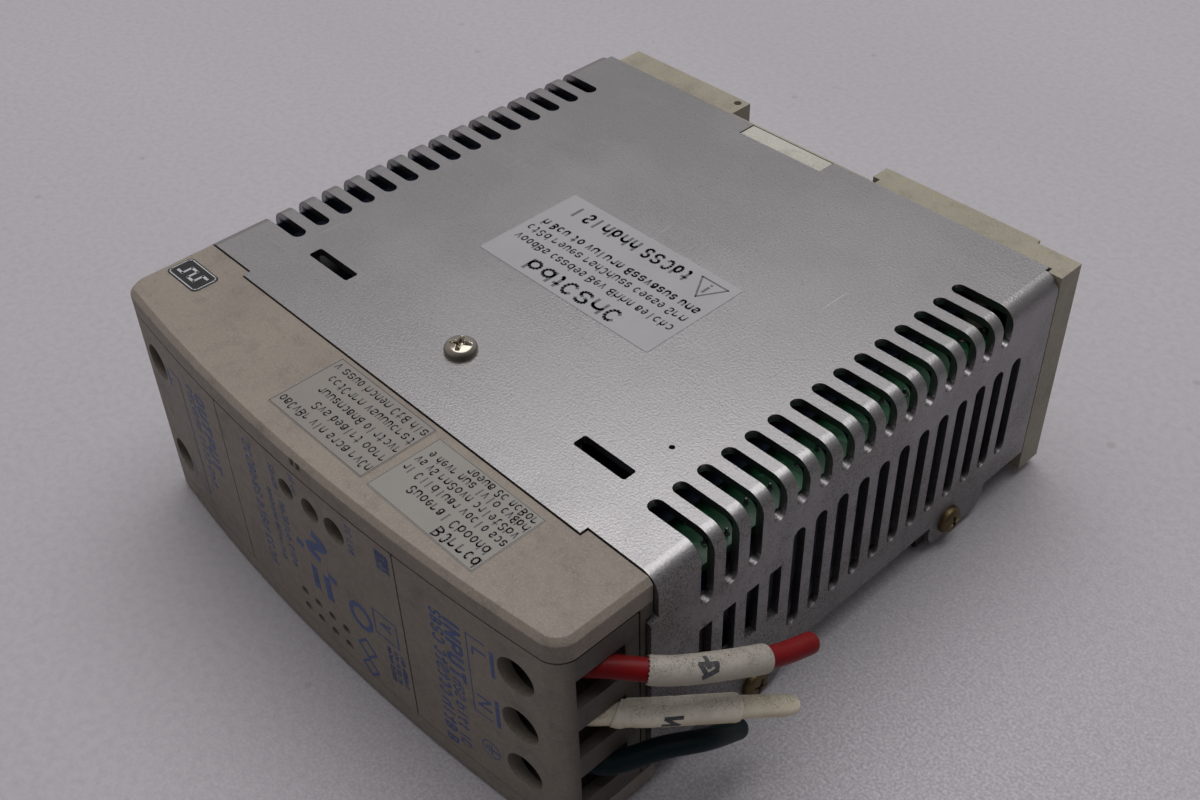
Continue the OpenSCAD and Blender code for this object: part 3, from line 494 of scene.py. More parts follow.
def insulation(name, colour, rough=0.38, dirt=(0.05, 0.04, 0.035), share=0.5, painted_underside_shade=None,
               relief=1.0, gloss=0.5):
    """Soft plastic of a wire or sleeve, dirty on its upper side, with painted brownish shade on its
    underside.
    """
    f = Finish(name, colour, rough, Specular_IOR_Level=gloss)
    facing = f.add("ShaderNodeSeparateXYZ")
    f.feed(facing.inputs[0], f.add("ShaderNodeNewGeometry").outputs["Normal"])
    up = facing.outputs[2]
    drift = f.noise(210, 3, 0.6)
    fine = f.noise(2400, 3, 0.65)
    dust = f.noise(5200, 2, 0.75, shift=2.0)
    patch = f.span(f.noise(420, 4, 0.65, shift=6.0), 0.36, 0.62)
    f.tint(f.span(drift, 0.4, 0.7, 0, 0.5), scaled(colour, 0.78))
    # painted shade: faces turned downwards take a darker, browner colour
    if painted_underside_shade:
        f.tint(f.mul(f.span(up, 0.45, -0.55), f.span(drift, 0.25, 0.6, 0.35, 1.0)), painted_underside_shade)
    top = f.mul(f.span(up, 0.15, 0.85, 0.12, 1.0), patch)
    f.tint(f.mul(f.span(up, 0.35, 0.95), share * 0.35), scaled(dirt, 3.0))
    f.tint(f.mul(f.span(fine, 0.48, 0.66), f.mul(top, share * 0.55)),
           scaled(dirt, 2.6))
    f.tint(f.mul(f.span(dust, 0.51, 0.61), f.mul(top, share)), dirt)
    f.rough = f.span(fine, 0.3, 0.7, rough - 0.08, rough + 0.12)
    f.bump(fine, 0.012 * relief)
    f.bump(drift, 0.06 * relief)
    return f.done()


def winding(name, colour, axis):
    """Enamelled wire turns as fine ridges across an axis."""
    f = Finish(name, colour, 0.3, 0.6)
    wave = f.add("ShaderNodeTexWave", bands_direction=axis)
    f.feed(wave.inputs["Vector"], f.place)
    wave.inputs["Scale"].default_value = 420
    wave.inputs["Distortion"].default_value = 0.4
    # painted shade in the grooves between the turns
    f.tint(f.span(wave.outputs[1], 0.0, 0.5, 0.6, 0.0), scaled(colour, 0.35))
    f.bump(wave.outputs[1], 0.2)
    f.rough = f.span(f.noise(500), 0.3, 0.7, 0.25, 0.4)
    return f.done()


def floor_finish():
    """Pale paper sheet with faint bands and specks."""
    f = Finish("floor_sheet", (0.362, 0.343, 0.366), 0.62, Specular_IOR_Level=0.25)
    fine = f.noise(620, 3, 0.6)
    broad = f.noise(5.5, 3, 0.55, (0.5, 1.8, 1), shift=3.0)
    f.tint(f.span(broad, 0.35, 0.7, 0, 1.0), (0.385, 0.366, 0.389))
    f.tint(f.span(fine, 0.40, 0.70, 0, 0.34), (0.277, 0.266, 0.285))
    f.specks(60, 0.07, 0.35, (0.231, 0.20, 0.185), 3.0)
    # painted highlights and painted shade on the paper's grain, strongest beside the cut wires
    painted_grain_sheen_distance = f.add("ShaderNodeVectorMath", operation="DISTANCE")
    f.feed(painted_grain_sheen_distance.inputs[0], f.place)
    painted_grain_sheen_distance.inputs[1].default_value = (0.10, -0.045, 0.0)
    share = f.span(painted_grain_sheen_distance.outputs["Value"], 0.03, 0.13, 1.0, 0.08)
    grain = f.noise(1900, 2, 0.7, shift=4.0)
    f.tint(f.mul(f.span(grain, 0.50, 0.66), f.mul(share, 0.62)),
           (0.52, 0.50, 0.53))
    f.tint(f.mul(f.span(grain, 0.50, 0.34), f.mul(share, 0.5)),
           (0.22, 0.205, 0.22))
    f.rough = f.span(fine, 0.3, 0.7, 0.55, 0.68)
    f.bump(fine, 0.10)
    return f.done()


MATS = {
    "cover_aluminium": aluminium("cover_aluminium"),
    "front_plastic": front_plastic("front_plastic", recess=True),
    "rear_plastic": front_plastic("rear_plastic", (0.275, 0.247, 0.190)),
    "retainer_plastic": front_plastic("retainer_plastic", (0.40, 0.385, 0.339)),
    "latch_plastic": simple("latch_plastic", (0.035, 0.035, 0.038), 0.5, depth=0.02),
    "spring_steel": simple("spring_steel", (0.55, 0.55, 0.57), 0.3, 1.0, stretch=(3, 1, 1)),
    "board_laminate": board("board_laminate"),
    "film": simple("film", (0.010, 0.014, 0.030), 0.35, grain=700, depth=0.02),
    "ferrite": simple("ferrite", (0.05, 0.05, 0.055), 0.7, grain=1200, depth=0.03),
    "copper_winding": winding("copper_winding", (0.60, 0.27, 0.09), "Z"),
    "capacitor_sleeve": simple("capacitor_sleeve", (0.02, 0.02, 0.025), 0.3),
    "x_capacitor_case": simple("x_capacitor_case", (0.55, 0.50, 0.14), 0.4),
    "fuse_body": simple("fuse_body", (0.70, 0.72, 0.70), 0.15, Transmission_Weight=0.5),
    "clip_metal": simple("clip_metal", (0.62, 0.58, 0.46), 0.3, 1.0),
    "device_epoxy": simple("device_epoxy", (0.02, 0.02, 0.02), 0.5, depth=0.02),
    "heat_sink": simple("heat_sink", (0.55, 0.56, 0.57), 0.4, 1.0, stretch=(0.1, 1, 1)),
    "varistor_coat": simple("varistor_coat", (0.03, 0.08, 0.35), 0.35, grain=500, depth=0.05),
    "lamp_green": simple("lamp_green", (0.06, 0.22, 0.08), 0.15, depth=0.003),
    "lamp_red": simple("lamp_red", (0.28, 0.04, 0.03), 0.15, depth=0.003),
    "trimmer_case": simple("trimmer_case", (0.03, 0.06, 0.30), 0.35),
    "trimmer_nylon": simple("trimmer_nylon", (0.62, 0.60, 0.52), 0.4),
    "terminal_steel": simple("terminal_steel", (0.55, 0.52, 0.45), 0.35, 1.0, dirt=0.4),
    "screw_zinc": simple("screw_zinc", (0.46, 0.43, 0.375), 0.22, 1.0, grain=1500, depth=0.01,
                         dirt=0.35, vary=0.25),
    # dark brassy zinc: partly real dirt, partly painted shade for the shadow of the wires on the
    # near screw
    "screw_brassy_dirt_and_shade": simple("screw_brassy_dirt_and_shade", (0.17, 0.128, 0.068), 0.40, 1.0, grain=1300, depth=0.015,
                           dirt=0.75, vary=0.45),
    "screw_dull": simple("screw_dull", (0.39, 0.355, 0.30), 0.16, 1.0, grain=1100, depth=0.012,
                         dirt=0.6, vary=0.4),
    "label_film": film_paper("label_film", (0.273, 0.266, 0.277), 0.42),
    "label_paper": film_paper("label_paper", (0.192, 0.178, 0.160), 0.5),
    "label_paper_dull": film_paper("label_paper_dull", (0.180, 0.160, 0.142), 0.5),
    "badge_black": simple("badge_black", (0.006, 0.006, 0.007), 0.5, depth=0.006,
                          Specular_IOR_Level=0.3),
    "insulation_red": insulation("insulation_red", (0.15, 0.002, 0.004), 0.34, share=0.16,
                                 relief=0.3, gloss=0.10),
    # the wire's own white, made brighter as painted light for the light falling on it
    "insulation_white": insulation("insulation_white", (0.70, 0.64, 0.49), 0.38, share=0.8,
                                   painted_underside_shade=(0.46, 0.36, 0.20)),
    "insulation_green": insulation("insulation_green", (0.0012, 0.009, 0.011), 0.42, share=0.04,
                                   relief=0.5, gloss=0.12),
    "red_sleeve": insulation("red_sleeve", (0.40, 0.37, 0.32), 0.5, share=1.0,
                             painted_underside_shade=(0.33, 0.27, 0.19)),
    # painted light: the same sleeve stock as red_sleeve, made brighter for the light falling on
    # this sleeve
    "white_sleeve": insulation("white_sleeve", (0.68, 0.63, 0.54), 0.5, (0.07, 0.05, 0.035), 0.7,
                               painted_underside_shade=(0.46, 0.37, 0.21)),
    "strand_copper": simple("strand_copper", (0.70, 0.40, 0.24), 0.3, 1.0),
}
INK_BLACK = ink("ink_black", (0.036, 0.035, 0.038))
INK_GREY = ink("ink_grey", (0.064, 0.062, 0.066))
INK_BLUE = ink("ink_blue", (0.026, 0.054, 0.170))
INK_LIGHT = ink("ink_light", (0.34, 0.34, 0.36))

SLOT_OF = {
    "cover_aluminium": ["side_cover", "base_plate"],
    "front_plastic": ["bezel_frame", "input_block", "output_block", "front_plate"],
    "rear_plastic": ["rear_moulding"],
    "retainer_plastic": ["rear_retainer", "pcb_spacers"],
    "latch_plastic": ["din_latch"],
    "spring_steel": ["latch_spring"],
    "board_laminate": ["main_pcb", "control_board"],
    "film": ["insulator_top", "insulator_liner"],
    "ferrite": ["transformer_core"],
    "copper_winding": ["transformer_winding", "common_mode_choke", "output_choke"],
    "capacitor_sleeve": ["bulk_capacitor", "output_capacitors"],
    "x_capacitor_case": ["x_capacitor"],
    "fuse_body": ["fuse"],
    "clip_metal": ["fuse_clips"],
    "device_epoxy": ["bridge_rectifier", "power_transistor", "output_rectifier"],
    "heat_sink": ["primary_heat_sink", "secondary_heat_sink"],
    "varistor_coat": ["varistor"],
    "lamp_green": ["led_dc_ok"],
    "lamp_red": ["led_dc_low"],
    "trimmer_case": ["trimmer_body"],
    "trimmer_nylon": ["trimmer_rotor"],
    "terminal_steel": ["input_plates", "output_plates"] + [f"washer_{t}" for t in TERM_Z],
}
EDGES = {  # radius in mm of the softened edges of a carried-over node
    "side_cover": 0.12, "bezel_frame": 0.32, "input_block": 0.14, "output_block": 0.14,
    "front_plate": 0.12, "rear_moulding": 0.25, "rear_retainer": 0.15, "din_latch": 0.25,
    "main_pcb": 0.08, "base_plate": 0.12, "transformer_core": 0.4, "x_capacitor": 0.4,
}


def paint(ob, mat):
    ob.data.materials.clear()
    ob.data.materials.append(mat)


def soften(ob, width):
    """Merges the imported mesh's split corners and rounds its edges, as modifiers."""
    weld = ob.modifiers.new("weld", "WELD")
    weld.merge_threshold = 2e-6
    flat = ob.modifiers.new("flat", "DECIMATE")
    flat.decimate_type, flat.angle_limit = "DISSOLVE", math.radians(0.6)
    edge = ob.modifiers.new("edge", "BEVEL")
    edge.width, edge.segments = width * MM, 2
    edge.limit_method, edge.angle_limit = "ANGLE", math.radians(32)
    edge.use_clamp_overlap = True
    edge.harden_normals = False
    keep = ob.modifiers.new("normals", "WEIGHTED_NORMAL")
    keep.keep_sharp = False


for slot_name, members in SLOT_OF.items():
    for member in members:
        node = NODES[member]
        paint(node, MATS[slot_name])
        if member in EDGES:
            soften(node, EDGES[member])


# ------------------------------------------------------------------ screws
def cross_depth(x, y, arm, wide, deep):
    """Depth of a cross recess at a point of a screw head."""
    best = 0.0
    for u, v in ((x, y), (y, x)):
        along = arm - abs(u)
        across = wide * (1 - 0.35 * abs(u) / arm) - abs(v)
        if along > 0 and across > 0:
            wall = min(along * 1.1, across * 3.5, 1.0)
            best = max(best, deep * min(1.0, wall) * (1 - 0.35 * (abs(u) / arm) ** 2))
    return best


def screw_verts(head_r, head_h, arm, turn, shank_r, shank_l, thread=0.5, wide=0.42):
    """A domed head with a cross recess and a threaded shank, axis +Z, seat at z = 0."""
    rings, sides = 30, 96
    verts, faces = [(0, 0, head_h - cross_depth(0, 0, arm, wide, 1.15))], []
    for i in range(1, rings + 1):
        r = head_r * (i / rings)
        for k in range(sides):
            a = 2 * math.pi * k / sides
            x, y = r * math.cos(a), r * math.sin(a)
            t = r / head_r
            rim = 0.62
            z = head_h * (1 - 0.18 * t ** 2)
            if t > rim:
                q = (t - rim) / (1 - rim)
                z -= head_h * 0.55 * (1 - math.sqrt(max(0.0, 1 - q * q)))
            ca, sa = math.cos(-turn), math.sin(-turn)
            z -= cross_depth(x * ca - y * sa, x * sa + y * ca, arm, wide, 1.15)
            verts.append((x, y, z))
    def ring(r, z):
        start = len(verts)
        for k in range(sides):
            a = 2 * math.pi * k / sides
            verts.append((r * math.cos(a), r * math.sin(a), z))
        return start
    for k in range(sides):
        faces.append((0, 1 + k, 1 + (k + 1) % sides))
    starts = [1 + i * sides for i in range(rings)]
    starts += [ring(head_r, 0.0), ring(shank_r, 0.0)]
    turns = max(1, int(shank_l / thread))
    for i in range(turns * 2):
        z = -thread * (i + 1) / 2
        starts.append(ring(shank_r * (0.86 if i % 2 == 0 else 1.0), max(z, -shank_l)))
    starts.append(ring(shank_r * 0.7, -shank_l - 0.01))
    for a, b in zip(starts, starts[1:]):
        for k in range(sides):
            j = (k + 1) % sides
            faces.append((a + k, b + k, b + j, a + j))
    faces.append(tuple(starts[-1] + k for k in range(sides))[::-1])
    return verts, faces


def placed(verts, origin, axis):
    """Moves screw points so that their +Z runs along an axis from an origin."""
    q = Vector((0, 0, 1)).rotation_difference(Vector(axis))
    return [q @ Vector(v) + Vector(origin) for v in verts]


def make_screw(name, parts, node, body, mat="screw_zinc"):
    """One piece from one or more screws: (origin, axis, screw_verts arguments)."""
    verts, faces = [], []
    for origin, axis, spec in parts:
        v, f = screw_verts(*spec)
        base = len(verts)
        verts += placed(v, origin, axis)
        faces += [tuple(base + i for i in q) for q in f]
    ob = mesh_piece(name, verts, faces)
    mod = ob.modifiers.new("split", "EDGE_SPLIT")
    mod.split_angle = math.radians(38)
    paint(ob, MATS[mat])
    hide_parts(node)
    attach(ob, body)


make_screw("cover_screw_pan",
           [(COVER_SCREW, (0, 0, 1), (2.85, 1.78, 2.0, 0.6, 1.5, 7.5, 0.5, 0.52))],
           "cover_screw", "chassis", "screw_dull")
make_screw("end_screw_set", [((s * HALF_L, y, END_SCREW_Z), (s, 0, 0),
                              (2.75, 1.68, 1.7, 0.3 + y, 1.5, 3.3))
                             for s in (1, -1) for y in END_SCREW_Y], "end_screws", "chassis",
           "screw_brassy_dirt_and_shade")
for i, t in enumerate(TERM_Z):
    make_screw(f"terminal_screw_{t}", [((TERM_X[t], TERM_SEAT_Y, TERM_Z[t]), (0, -1, 0),
                                        (3.2, 2.38, 2.1, 0.35 + 0.5 * i, 1.75, 7.8, 0.7))],
               f"screw_{t}", f"driver_{t}")


# ------------------------------------------------------------------ prints and labels
class Print:
    """Thin printed strokes on a surface. place(u, v, h) gives a point in mm."""

    def __init__(self, name, place, mat, seed, high=0.018):
        self.name, self.place, self.mat, self.high = name, place, mat, high
        self.rng = random.Random(seed)
        self.verts, self.faces = [], []

    def stroke(self, a, b, wide):
        a, b = Vector(a), Vector(b)
        along = b - a
        if along.length < 1e-6:
            return
        along.normalize()
        side = Vector((-along.y, along.x)) * wide / 2
        end = along * wide * 0.35
        corners = [a - end - side, b + end - side, b + end + side, a - end + side]
        base = len(self.verts)
        for h in (-0.03, self.high):
            self.verts += [self.place(c.x, c.y, h) for c in corners]
        sides = [(i, (i + 1) % 4, (i + 1) % 4 + 4, i + 4) for i in range(4)]
        for q in [(3, 2, 1, 0), (4, 5, 6, 7)] + sides:
            self.faces.append(tuple(base + i for i in q))

    def line(self, points, wide, closed=False):
        pts = list(points) + ([points[0]] if closed else [])
        for a, b in zip(pts, pts[1:]):
            self.stroke(a, b, wide)

    def ring(self, centre, r, wide, sides=28):
        turns = [2 * math.pi * i / sides for i in range(sides + 1)]
        self.line([(centre[0] + r * math.cos(a), centre[1] + r * math.sin(a)) for a in turns], wide)

    def frame(self, u, v, wide):
        self.line([(u[0], v[0]), (u[1], v[0]), (u[1], v[1]), (u[0], v[1])], wide, True)

    def mark(self, u, v, w, h, wide, tall=False):
        """One meaningless letter-sized mark made of stems and bowls."""
        shape = self.rng.choice(TALL_MARKS if tall else MARKS)
        flip = self.rng.random() < 0.5
        for line in shape:
            self.line([(u + (1 - x if flip else x) * w, v + y * h) for x, y in line], wide)

    def words(self, u, v, length, cap, wide, letters=(2, 8), tall=0.3):
        """A line of such marks, grouped like words, from u on."""
        end = u + length
        while u < end - cap * 0.5:
            for _ in range(self.rng.randint(*letters)):
                w = cap * self.rng.uniform(0.40, 0.58)
                if u + w > end:
                    return
                high = self.rng.random() < tall
                self.mark(u, v, w, cap * (1.0 if high else 0.74), wide, high)
                u += w + wide + cap * 0.17
            u += cap * 0.42

    def letter(self, shape, u, v, w, h, wide, slant=0.0):
        for line in SHAPES[shape]:
            self.line([(u + x * w + y * h * slant, v + y * h) for x, y in line], wide)

    def make(self):
        ob = mesh_piece(self.name, self.verts, self.faces, smooth=False)
        paint(ob, self.mat)
        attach(ob, "chassis")


def bowl(cx, cy, rx, ry, start, end, n=8):
    """Points of an arc of an ellipse, angles in degrees."""
    return [(cx + rx * math.cos(math.radians(start + (end - start) * i / n)),
             cy + ry * math.sin(math.radians(start + (end - start) * i / n))) for i in range(n + 1)]


O_LINE = bowl(0.5, 0.5, 0.5, 0.5, 0, 360, 12)
MARKS = [  # strokes in a unit box, drawn and flipped at random so that a line spells nothing
    [O_LINE],
    [bowl(0.5, 0.5, 0.5, 0.5, 50, 310)],
    [bowl(0.5, 0.5, 0.5, 0.5, 0, 300), [(0.05, 0.5), (1, 0.5)]],
    [[(0, 0), (0, 1)], bowl(0.5, 0.6, 0.5, 0.4, 170, 0), [(1, 0.6), (1, 0)]],
    [[(0, 1), (0, 0.4)], bowl(0.5, 0.4, 0.5, 0.4, 180, 360), [(1, 0), (1, 1)]],
    [bowl(0.5, 0.74, 0.5, 0.26, 20, 250), bowl(0.5, 0.26, 0.5, 0.26, 70, -160)],
    [[(0, 0), (0, 1)], bowl(0.35, 0.6, 0.5, 0.4, 130, 20)],
    [[(0, 1), (0.5, 0), (1, 1)]],
    [bowl(0.5, 0.35, 0.5, 0.35, 0, 360), bowl(0.5, 0.7, 0.5, 0.3, 150, 0), [(1, 0.7), (1, 0)]],
]
TALL_MARKS = [
    [[(0.4, 0), (0.4, 1)]],
    [[(0, 0), (0, 1)], bowl(0.5, 0.35, 0.5, 0.35, 180, -180, 12)],
    [[(0, 0), (0, 1)], bowl(0.5, 0.45, 0.5, 0.25, 170, 0), [(1, 0.45), (1, 0)]],
    [[(0.35, 1), (0.35, 0.2)], bowl(0.65, 0.2, 0.3, 0.2, 180, 290), [(0, 0.72), (0.9, 0.72)]],
    [bowl(0.5, 0.5, 0.5, 0.5, 40, 320, 10)],
    [[(0, 0), (0, 1)], bowl(0.0, 0.72, 0.9, 0.28, 90, -90), bowl(0.0, 0.24, 1.0, 0.24, 90, -90)],
    [bowl(0.5, 0.75, 0.5, 0.25, 20, 250), bowl(0.5, 0.25, 0.5, 0.25, 70, -160)],
]
SHAPES = {  # letters of the generic words as strokes in a unit box
    "L": [[(0, 1), (0, 0), (1, 0)]],
    "N": [[(0, 0), (0, 1), (1, 0), (1, 1)]],
    "I": [[(0.5, 0), (0.5, 1)]],
    "P": [[(0, 0), (0, 1), (0.75, 1), (1, 0.85), (1, 0.6), (0.75, 0.45), (0, 0.45)]],
    "U": [[(0, 1), (0, 0.2), (0.25, 0), (0.75, 0), (1, 0.2), (1, 1)]],
    "T": [[(0, 1), (1, 1)], [(0.5, 1), (0.5, 0)]],
    "O": [O_LINE],
    "D": [[(0, 0), (0, 1), (0.6, 1), (1, 0.75), (1, 0.25), (0.6, 0), (0, 0)]],
    "C": [[(1, 0.85), (0.7, 1), (0.3, 1), (0, 0.7), (0, 0.3), (0.3, 0), (0.7, 0), (1, 0.15)]],
    "K": [[(0, 0), (0, 1)], [(1, 1), (0, 0.45)], [(0.3, 0.6), (1, 0)]],
    "W": [[(0, 1), (0.25, 0), (0.5, 0.8), (0.75, 0), (1, 1)]],
}


def word(p, text, u, v, cap, wide, slant=0.0):
    for ch in text:
        if ch != " ":
            w = cap * (0.08 if ch == "I" else 0.62)
            p.letter(ch, u, v, w, cap, wide, slant)
            u += w + wide + cap * 0.2
        else:
            u += cap * 0.5


def on_top(z):
    """Labels read along -X with their tops towards -Y: u = -x, v = -y."""
    return lambda u, v, h: (-u, -v, z + h)


def on_front(u, v, h):
    """The front reads along -Z with its tops towards +X: u = -z, v = x."""
    return (v, CROWN_Y - math.sqrt((CROWN_R + h) ** 2 - v * v), -u)


def plate(name, x, y, z, thick, r, node, slot, mat=None):
    """A label with rounded corners, slightly lifted at its edges."""
    verts, faces, n = [], [], 6
    outline = []
    for cx, cy, start in ((x[1] - r, y[1] - r, 0), (x[0] + r, y[1] - r, 90),
                          (x[0] + r, y[0] + r, 180), (x[1] - r, y[0] + r, 270)):
        for i in range(n + 1):
            a = math.radians(start + 90 * i / n)
            outline.append((cx + r * math.cos(a), cy + r * math.sin(a)))
    mx, my = (x[0] + x[1]) / 2, (y[0] + y[1]) / 2
    k = len(outline)
    for h, shrink in ((0.0, 0.0), (thick * 0.7, 0.0), (thick, thick * 0.6)):
        for px, py in outline:
            sx, sy = (1 if px > mx else -1), (1 if py > my else -1)
            verts.append((px - sx * shrink, py - sy * shrink, z + h))
    for level in range(2):
        for i in range(k):
            a, b = level * k + i, level * k + (i + 1) % k
            faces.append((a, b, b + k, a + k))
    faces.append(tuple(range(k))[::-1])
    faces.append(tuple(2 * k + i for i in range(k)))
    ob = mesh_piece(name, verts, faces, smooth=False)
    paint(ob, MATS[mat or slot])
    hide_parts(node)
    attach(ob, "chassis")


plate("notice_label", (-20.5, 21.9), (-8.2, 15.1), BODY_W, LABEL_T, 0.5,
      "caution_label", "label_film")
plate("rating_label_a", (-12.5, 12.2), (-58.5, -43.9), BEZEL_W, LABEL_T, 0.25,
      "bezel_label_a", "label_paper", "label_paper_dull")
plate("rating_label_b", (13.8, 38.3), (-58.7, -44.6), BEZEL_W, LABEL_T, 0.25,
      "bezel_label_b", "label_paper")
plate("maker_patch", (-55, -45.6), (-51.9, -46.5), BEZEL_W, BADGE_T, 1.0, "badge", "badge_black")

# notice label: a bold title, three lines, a triangle with a mark in it and a bold line
p = Print("notice_label_print", on_top(BODY_W + LABEL_T), INK_GREY, 5)
u = -12.0
for i in range(7):
    w = 2.3 if i != 4 else 1.2
    p.mark(u, 3.9, w, 3.0, 0.62, True)
    u += w + 1.2
p.words(-20.3, 0.2, 39.4, 1.75, 0.30, (3, 7))
p.words(-20.3, -3.1, 39.4, 1.75, 0.30, (3, 10))
p.words(-20.3, -6.1, 39.4, 1.75, 0.38, (2, 8))
p.line([(-20.1, -13.2), (-14.1, -13.2), (-17.1, -8.2)], 0.36, True)
p.stroke((-17.1, -9.9), (-17.1, -11.5), 0.5)
p.stroke((-17.1, -12.2), (-17.1, -12.35), 0.5)
p.words(-12.4, -12.7, 30.2, 2.7, 0.55, (4, 7), 1.0)
p.make()

p = Print("rating_label_a_print", on_top(BEZEL_W + LABEL_T), INK_BLACK, 8)
p.frame((-12.0, 12.3), (44.1, 58.3), 0.14)
for v, length in ((55.7, 23.6), (53.0, 18.4), (50.3, 20.7), (47.6, 22.4), (45.0, 23.2)):
    p.words(-11.6, v, length, 1.6, 0.24, (3, 9))
p.make()

p = Print("rating_label_b_print", on_top(BEZEL_W + LABEL_T), INK_BLACK, 9)
p.frame((-38.1, -14.0), (44.8, 58.5), 0.10)
p.words(-37.6, 56.2, 10.6, 1.9, 0.32, (7, 7), 0.3)
p.words(-36.9, 53.8, 19.4, 1.6, 0.26, (6, 9))
for v, length in ((51.4, 23.2), (49.2, 23.0), (47.1, 23.0), (45.3, 16.0)):
    p.words(-37.6, v, length, 1.45, 0.24, (2, 8))
p.make()

p = Print("maker_patch_print", on_top(BEZEL_W + BADGE_T), INK_LIGHT, 3)
ring = [(45.95, 47.4), (46.5, 46.85), (54.1, 46.85), (54.65, 47.4), (54.65, 51.0),
        (54.1, 51.55), (46.5, 51.55), (45.95, 51.0)]
p.line(ring, 0.22, True)
p.line([(47.1, 48.2), (48.5, 48.2), (48.5, 50.2), (50.3, 50.2), (50.3, 48.2), (52.1, 48.2),
        (52.1, 50.2), (53.5, 50.2)], 0.5)  # a plain square wave
p.make()

p = Print("front_print", on_front, INK_BLUE, 21, 0.02)
p.stroke((-36.6, 43.9), (-31.3, 43.9), 0.75)
p.stroke((-25.3, 43.9), (-19.5, 43.9), 0.75)
p.line([(-37.3, 42.6), (-37.3, 38.9), (-19.5, 38.9), (-19.5, 42.6)], 0.24)
p.letter("L", -35.0, 40.0, 1.5, 2.6, 0.42)
p.letter("N", -24.0, 40.0, 2.2, 2.6, 0.42)
word(p, "INPUT", -37.1, 34.5, 2.9, 0.70)
p.words(-23.6, 34.7, 16.6, 2.1, 0.30, (2, 6), 0.8)
p.words(-37.3, 31.4, 32.0, 2.3, 0.42, (3, 6), 1.0)
p.ring((-11.6, 41.5), 1.9, 0.16)
p.stroke((-11.6, 43.1), (-11.6, 41.7), 0.3)
for i, half in enumerate((1.1, 0.75, 0.35)):
    p.stroke((-11.6 - half, 41.6 - 0.55 * i), (-11.6 + half, 41.6 - 0.55 * i), 0.24)
for v in (22.2, 21.4, 20.6, 19.9):
    p.words(-41.0, v, 4.2, 0.62, 0.2, (4, 7), 1.0)
p.frame((-24.8, -19.2), (16.2, 21.8), 0.26)
p.mark(-23.0, 17.9, 1.2, 2.2, 0.4)
p.ring((-19.6, 12.4), 2.55, 0.95)
for cu, r in ((-11.6, 2.3), (-6.8, 2.0)):
    p.line([(cu - r, 12.4), (cu, 12.4 + r), (cu + r, 12.4), (cu, 12.4 - r)], 0.5, True)
for v in (21.8, 20.2, 18.6):
    p.words(-17.6, v, 8.6, 0.95, 0.2, (3, 6), 0.6)
word(p, "DC LOW", -41.2, 12.9, 1.25, 0.17, 0.1)
word(p, "DC OK", -41.9, -1.6, 1.0, 0.15, 0.1)
# sign of alternating to direct current: a wave, a slash, a bar over three dashes
wave = [i / 16 for i in range(17)]
p.line([(-31.0 + 5.4 * t, 2.4 + 2.3 * math.sin(2 * math.pi * t)) for t in wave], 1.7)
p.stroke((-25.6, -3.2), (-22.9, 6.2), 1.5)
p.stroke((-21.6, 3.7), (-16.9, 3.7), 1.7)
for a in (-21.6, -19.9, -18.2):
    p.stroke((a, 0.2), (a + 0.9, 0.2), 1.6)
p.words(-40.0, -7.9, 7.6, 1.5, 0.2, (3, 5), 0.6)
p.words(-31.9, -7.2, 16.6, 1.7, 0.24, (4, 7), 0.6)
p.words(-32.8, -10.4, 17.0, 1.3, 0.2, (4, 7), 0.5)
p.words(-40.0, -15.8, 29.8, 2.3, 0.34, (4, 7), 1.0)
word(p, "OUTPUT", -38.6, -32.4, 2.9, 0.70)
p.words(-38.6, -35.6, 24.4, 2.0, 0.38, (3, 6), 1.0)
p.line([(-37.3, -42.6), (-37.3, -38.9), (-9.7, -38.9), (-9.7, -42.6)], 0.24)
p.stroke((-36.4, -43.9), (-33.0, -43.9), 0.5)
p.stroke((-34.7, -45.0), (-34.7, -42.8), 0.5)
p.stroke((-14.0, -43.9), (-10.6, -43.9), 0.5)
p.make()


# ------------------------------------------------------------------ wires: finish, marks, ends
for colour, ob in wires.items():
    paint(ob, MATS[f"insulation_{colour}"])
    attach(ob, "chassis")
for colour, (ob, path) in sleeves.items():
    paint(ob, MATS[f"{colour}_sleeve"])
    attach(ob, "chassis")


def sleeve_mark(name, path, share, lines, size, turn):
    """Pen strokes on a sleeve's round surface; share is how far along it their middle lies."""
    i = int(share * (len(path) - 1))
    t = frames(path)[i][0]
    ref = Vector((0.55, -0.45, 0.70))
    up = (ref - ref.dot(t) * t).normalized()
    around = t.cross(up)
    def place(u, v, h):
        s = min(len(path) - 1.0, max(0.0, i + u * size / (length_of(path) / (len(path) - 1))))
        k = int(s)
        p = path[k].lerp(path[min(k + 1, len(path) - 1)], s - k)
        ang = v * size / SLEEVE_R + turn
        r = SLEEVE_R + 0.004 + h
        return p + r * (math.cos(ang) * up + math.sin(ang) * around)
    p = Print(name, place, INK_BLACK, 4, 0.02)
    for pts in lines:
        fine = []
        for a, b in zip(pts, pts[1:]):
            fine += [tuple(Vector(a).lerp(Vector(b), j / 4)) for j in range(4)]
        p.line(fine + [pts[-1]], 0.5)
    p.make()


sleeve_mark("red_sleeve_mark", sleeves["red"][1], 0.47,
            [[(-0.5, 1.1), (1.0, 0.5), (1.1, -0.1), (-0.9, -0.2), (-0.1, 1.0)],
             [(0.1, 0.1), (0.0, -0.9)]], 1.5, -0.25)
sleeve_mark("white_sleeve_mark", sleeves["white"][1], 0.52,
            [[(-1.1, 0.6), (0.9, 0.7), (-0.9, -0.5), (1.1, -0.6)]], 1.15, 0.62)


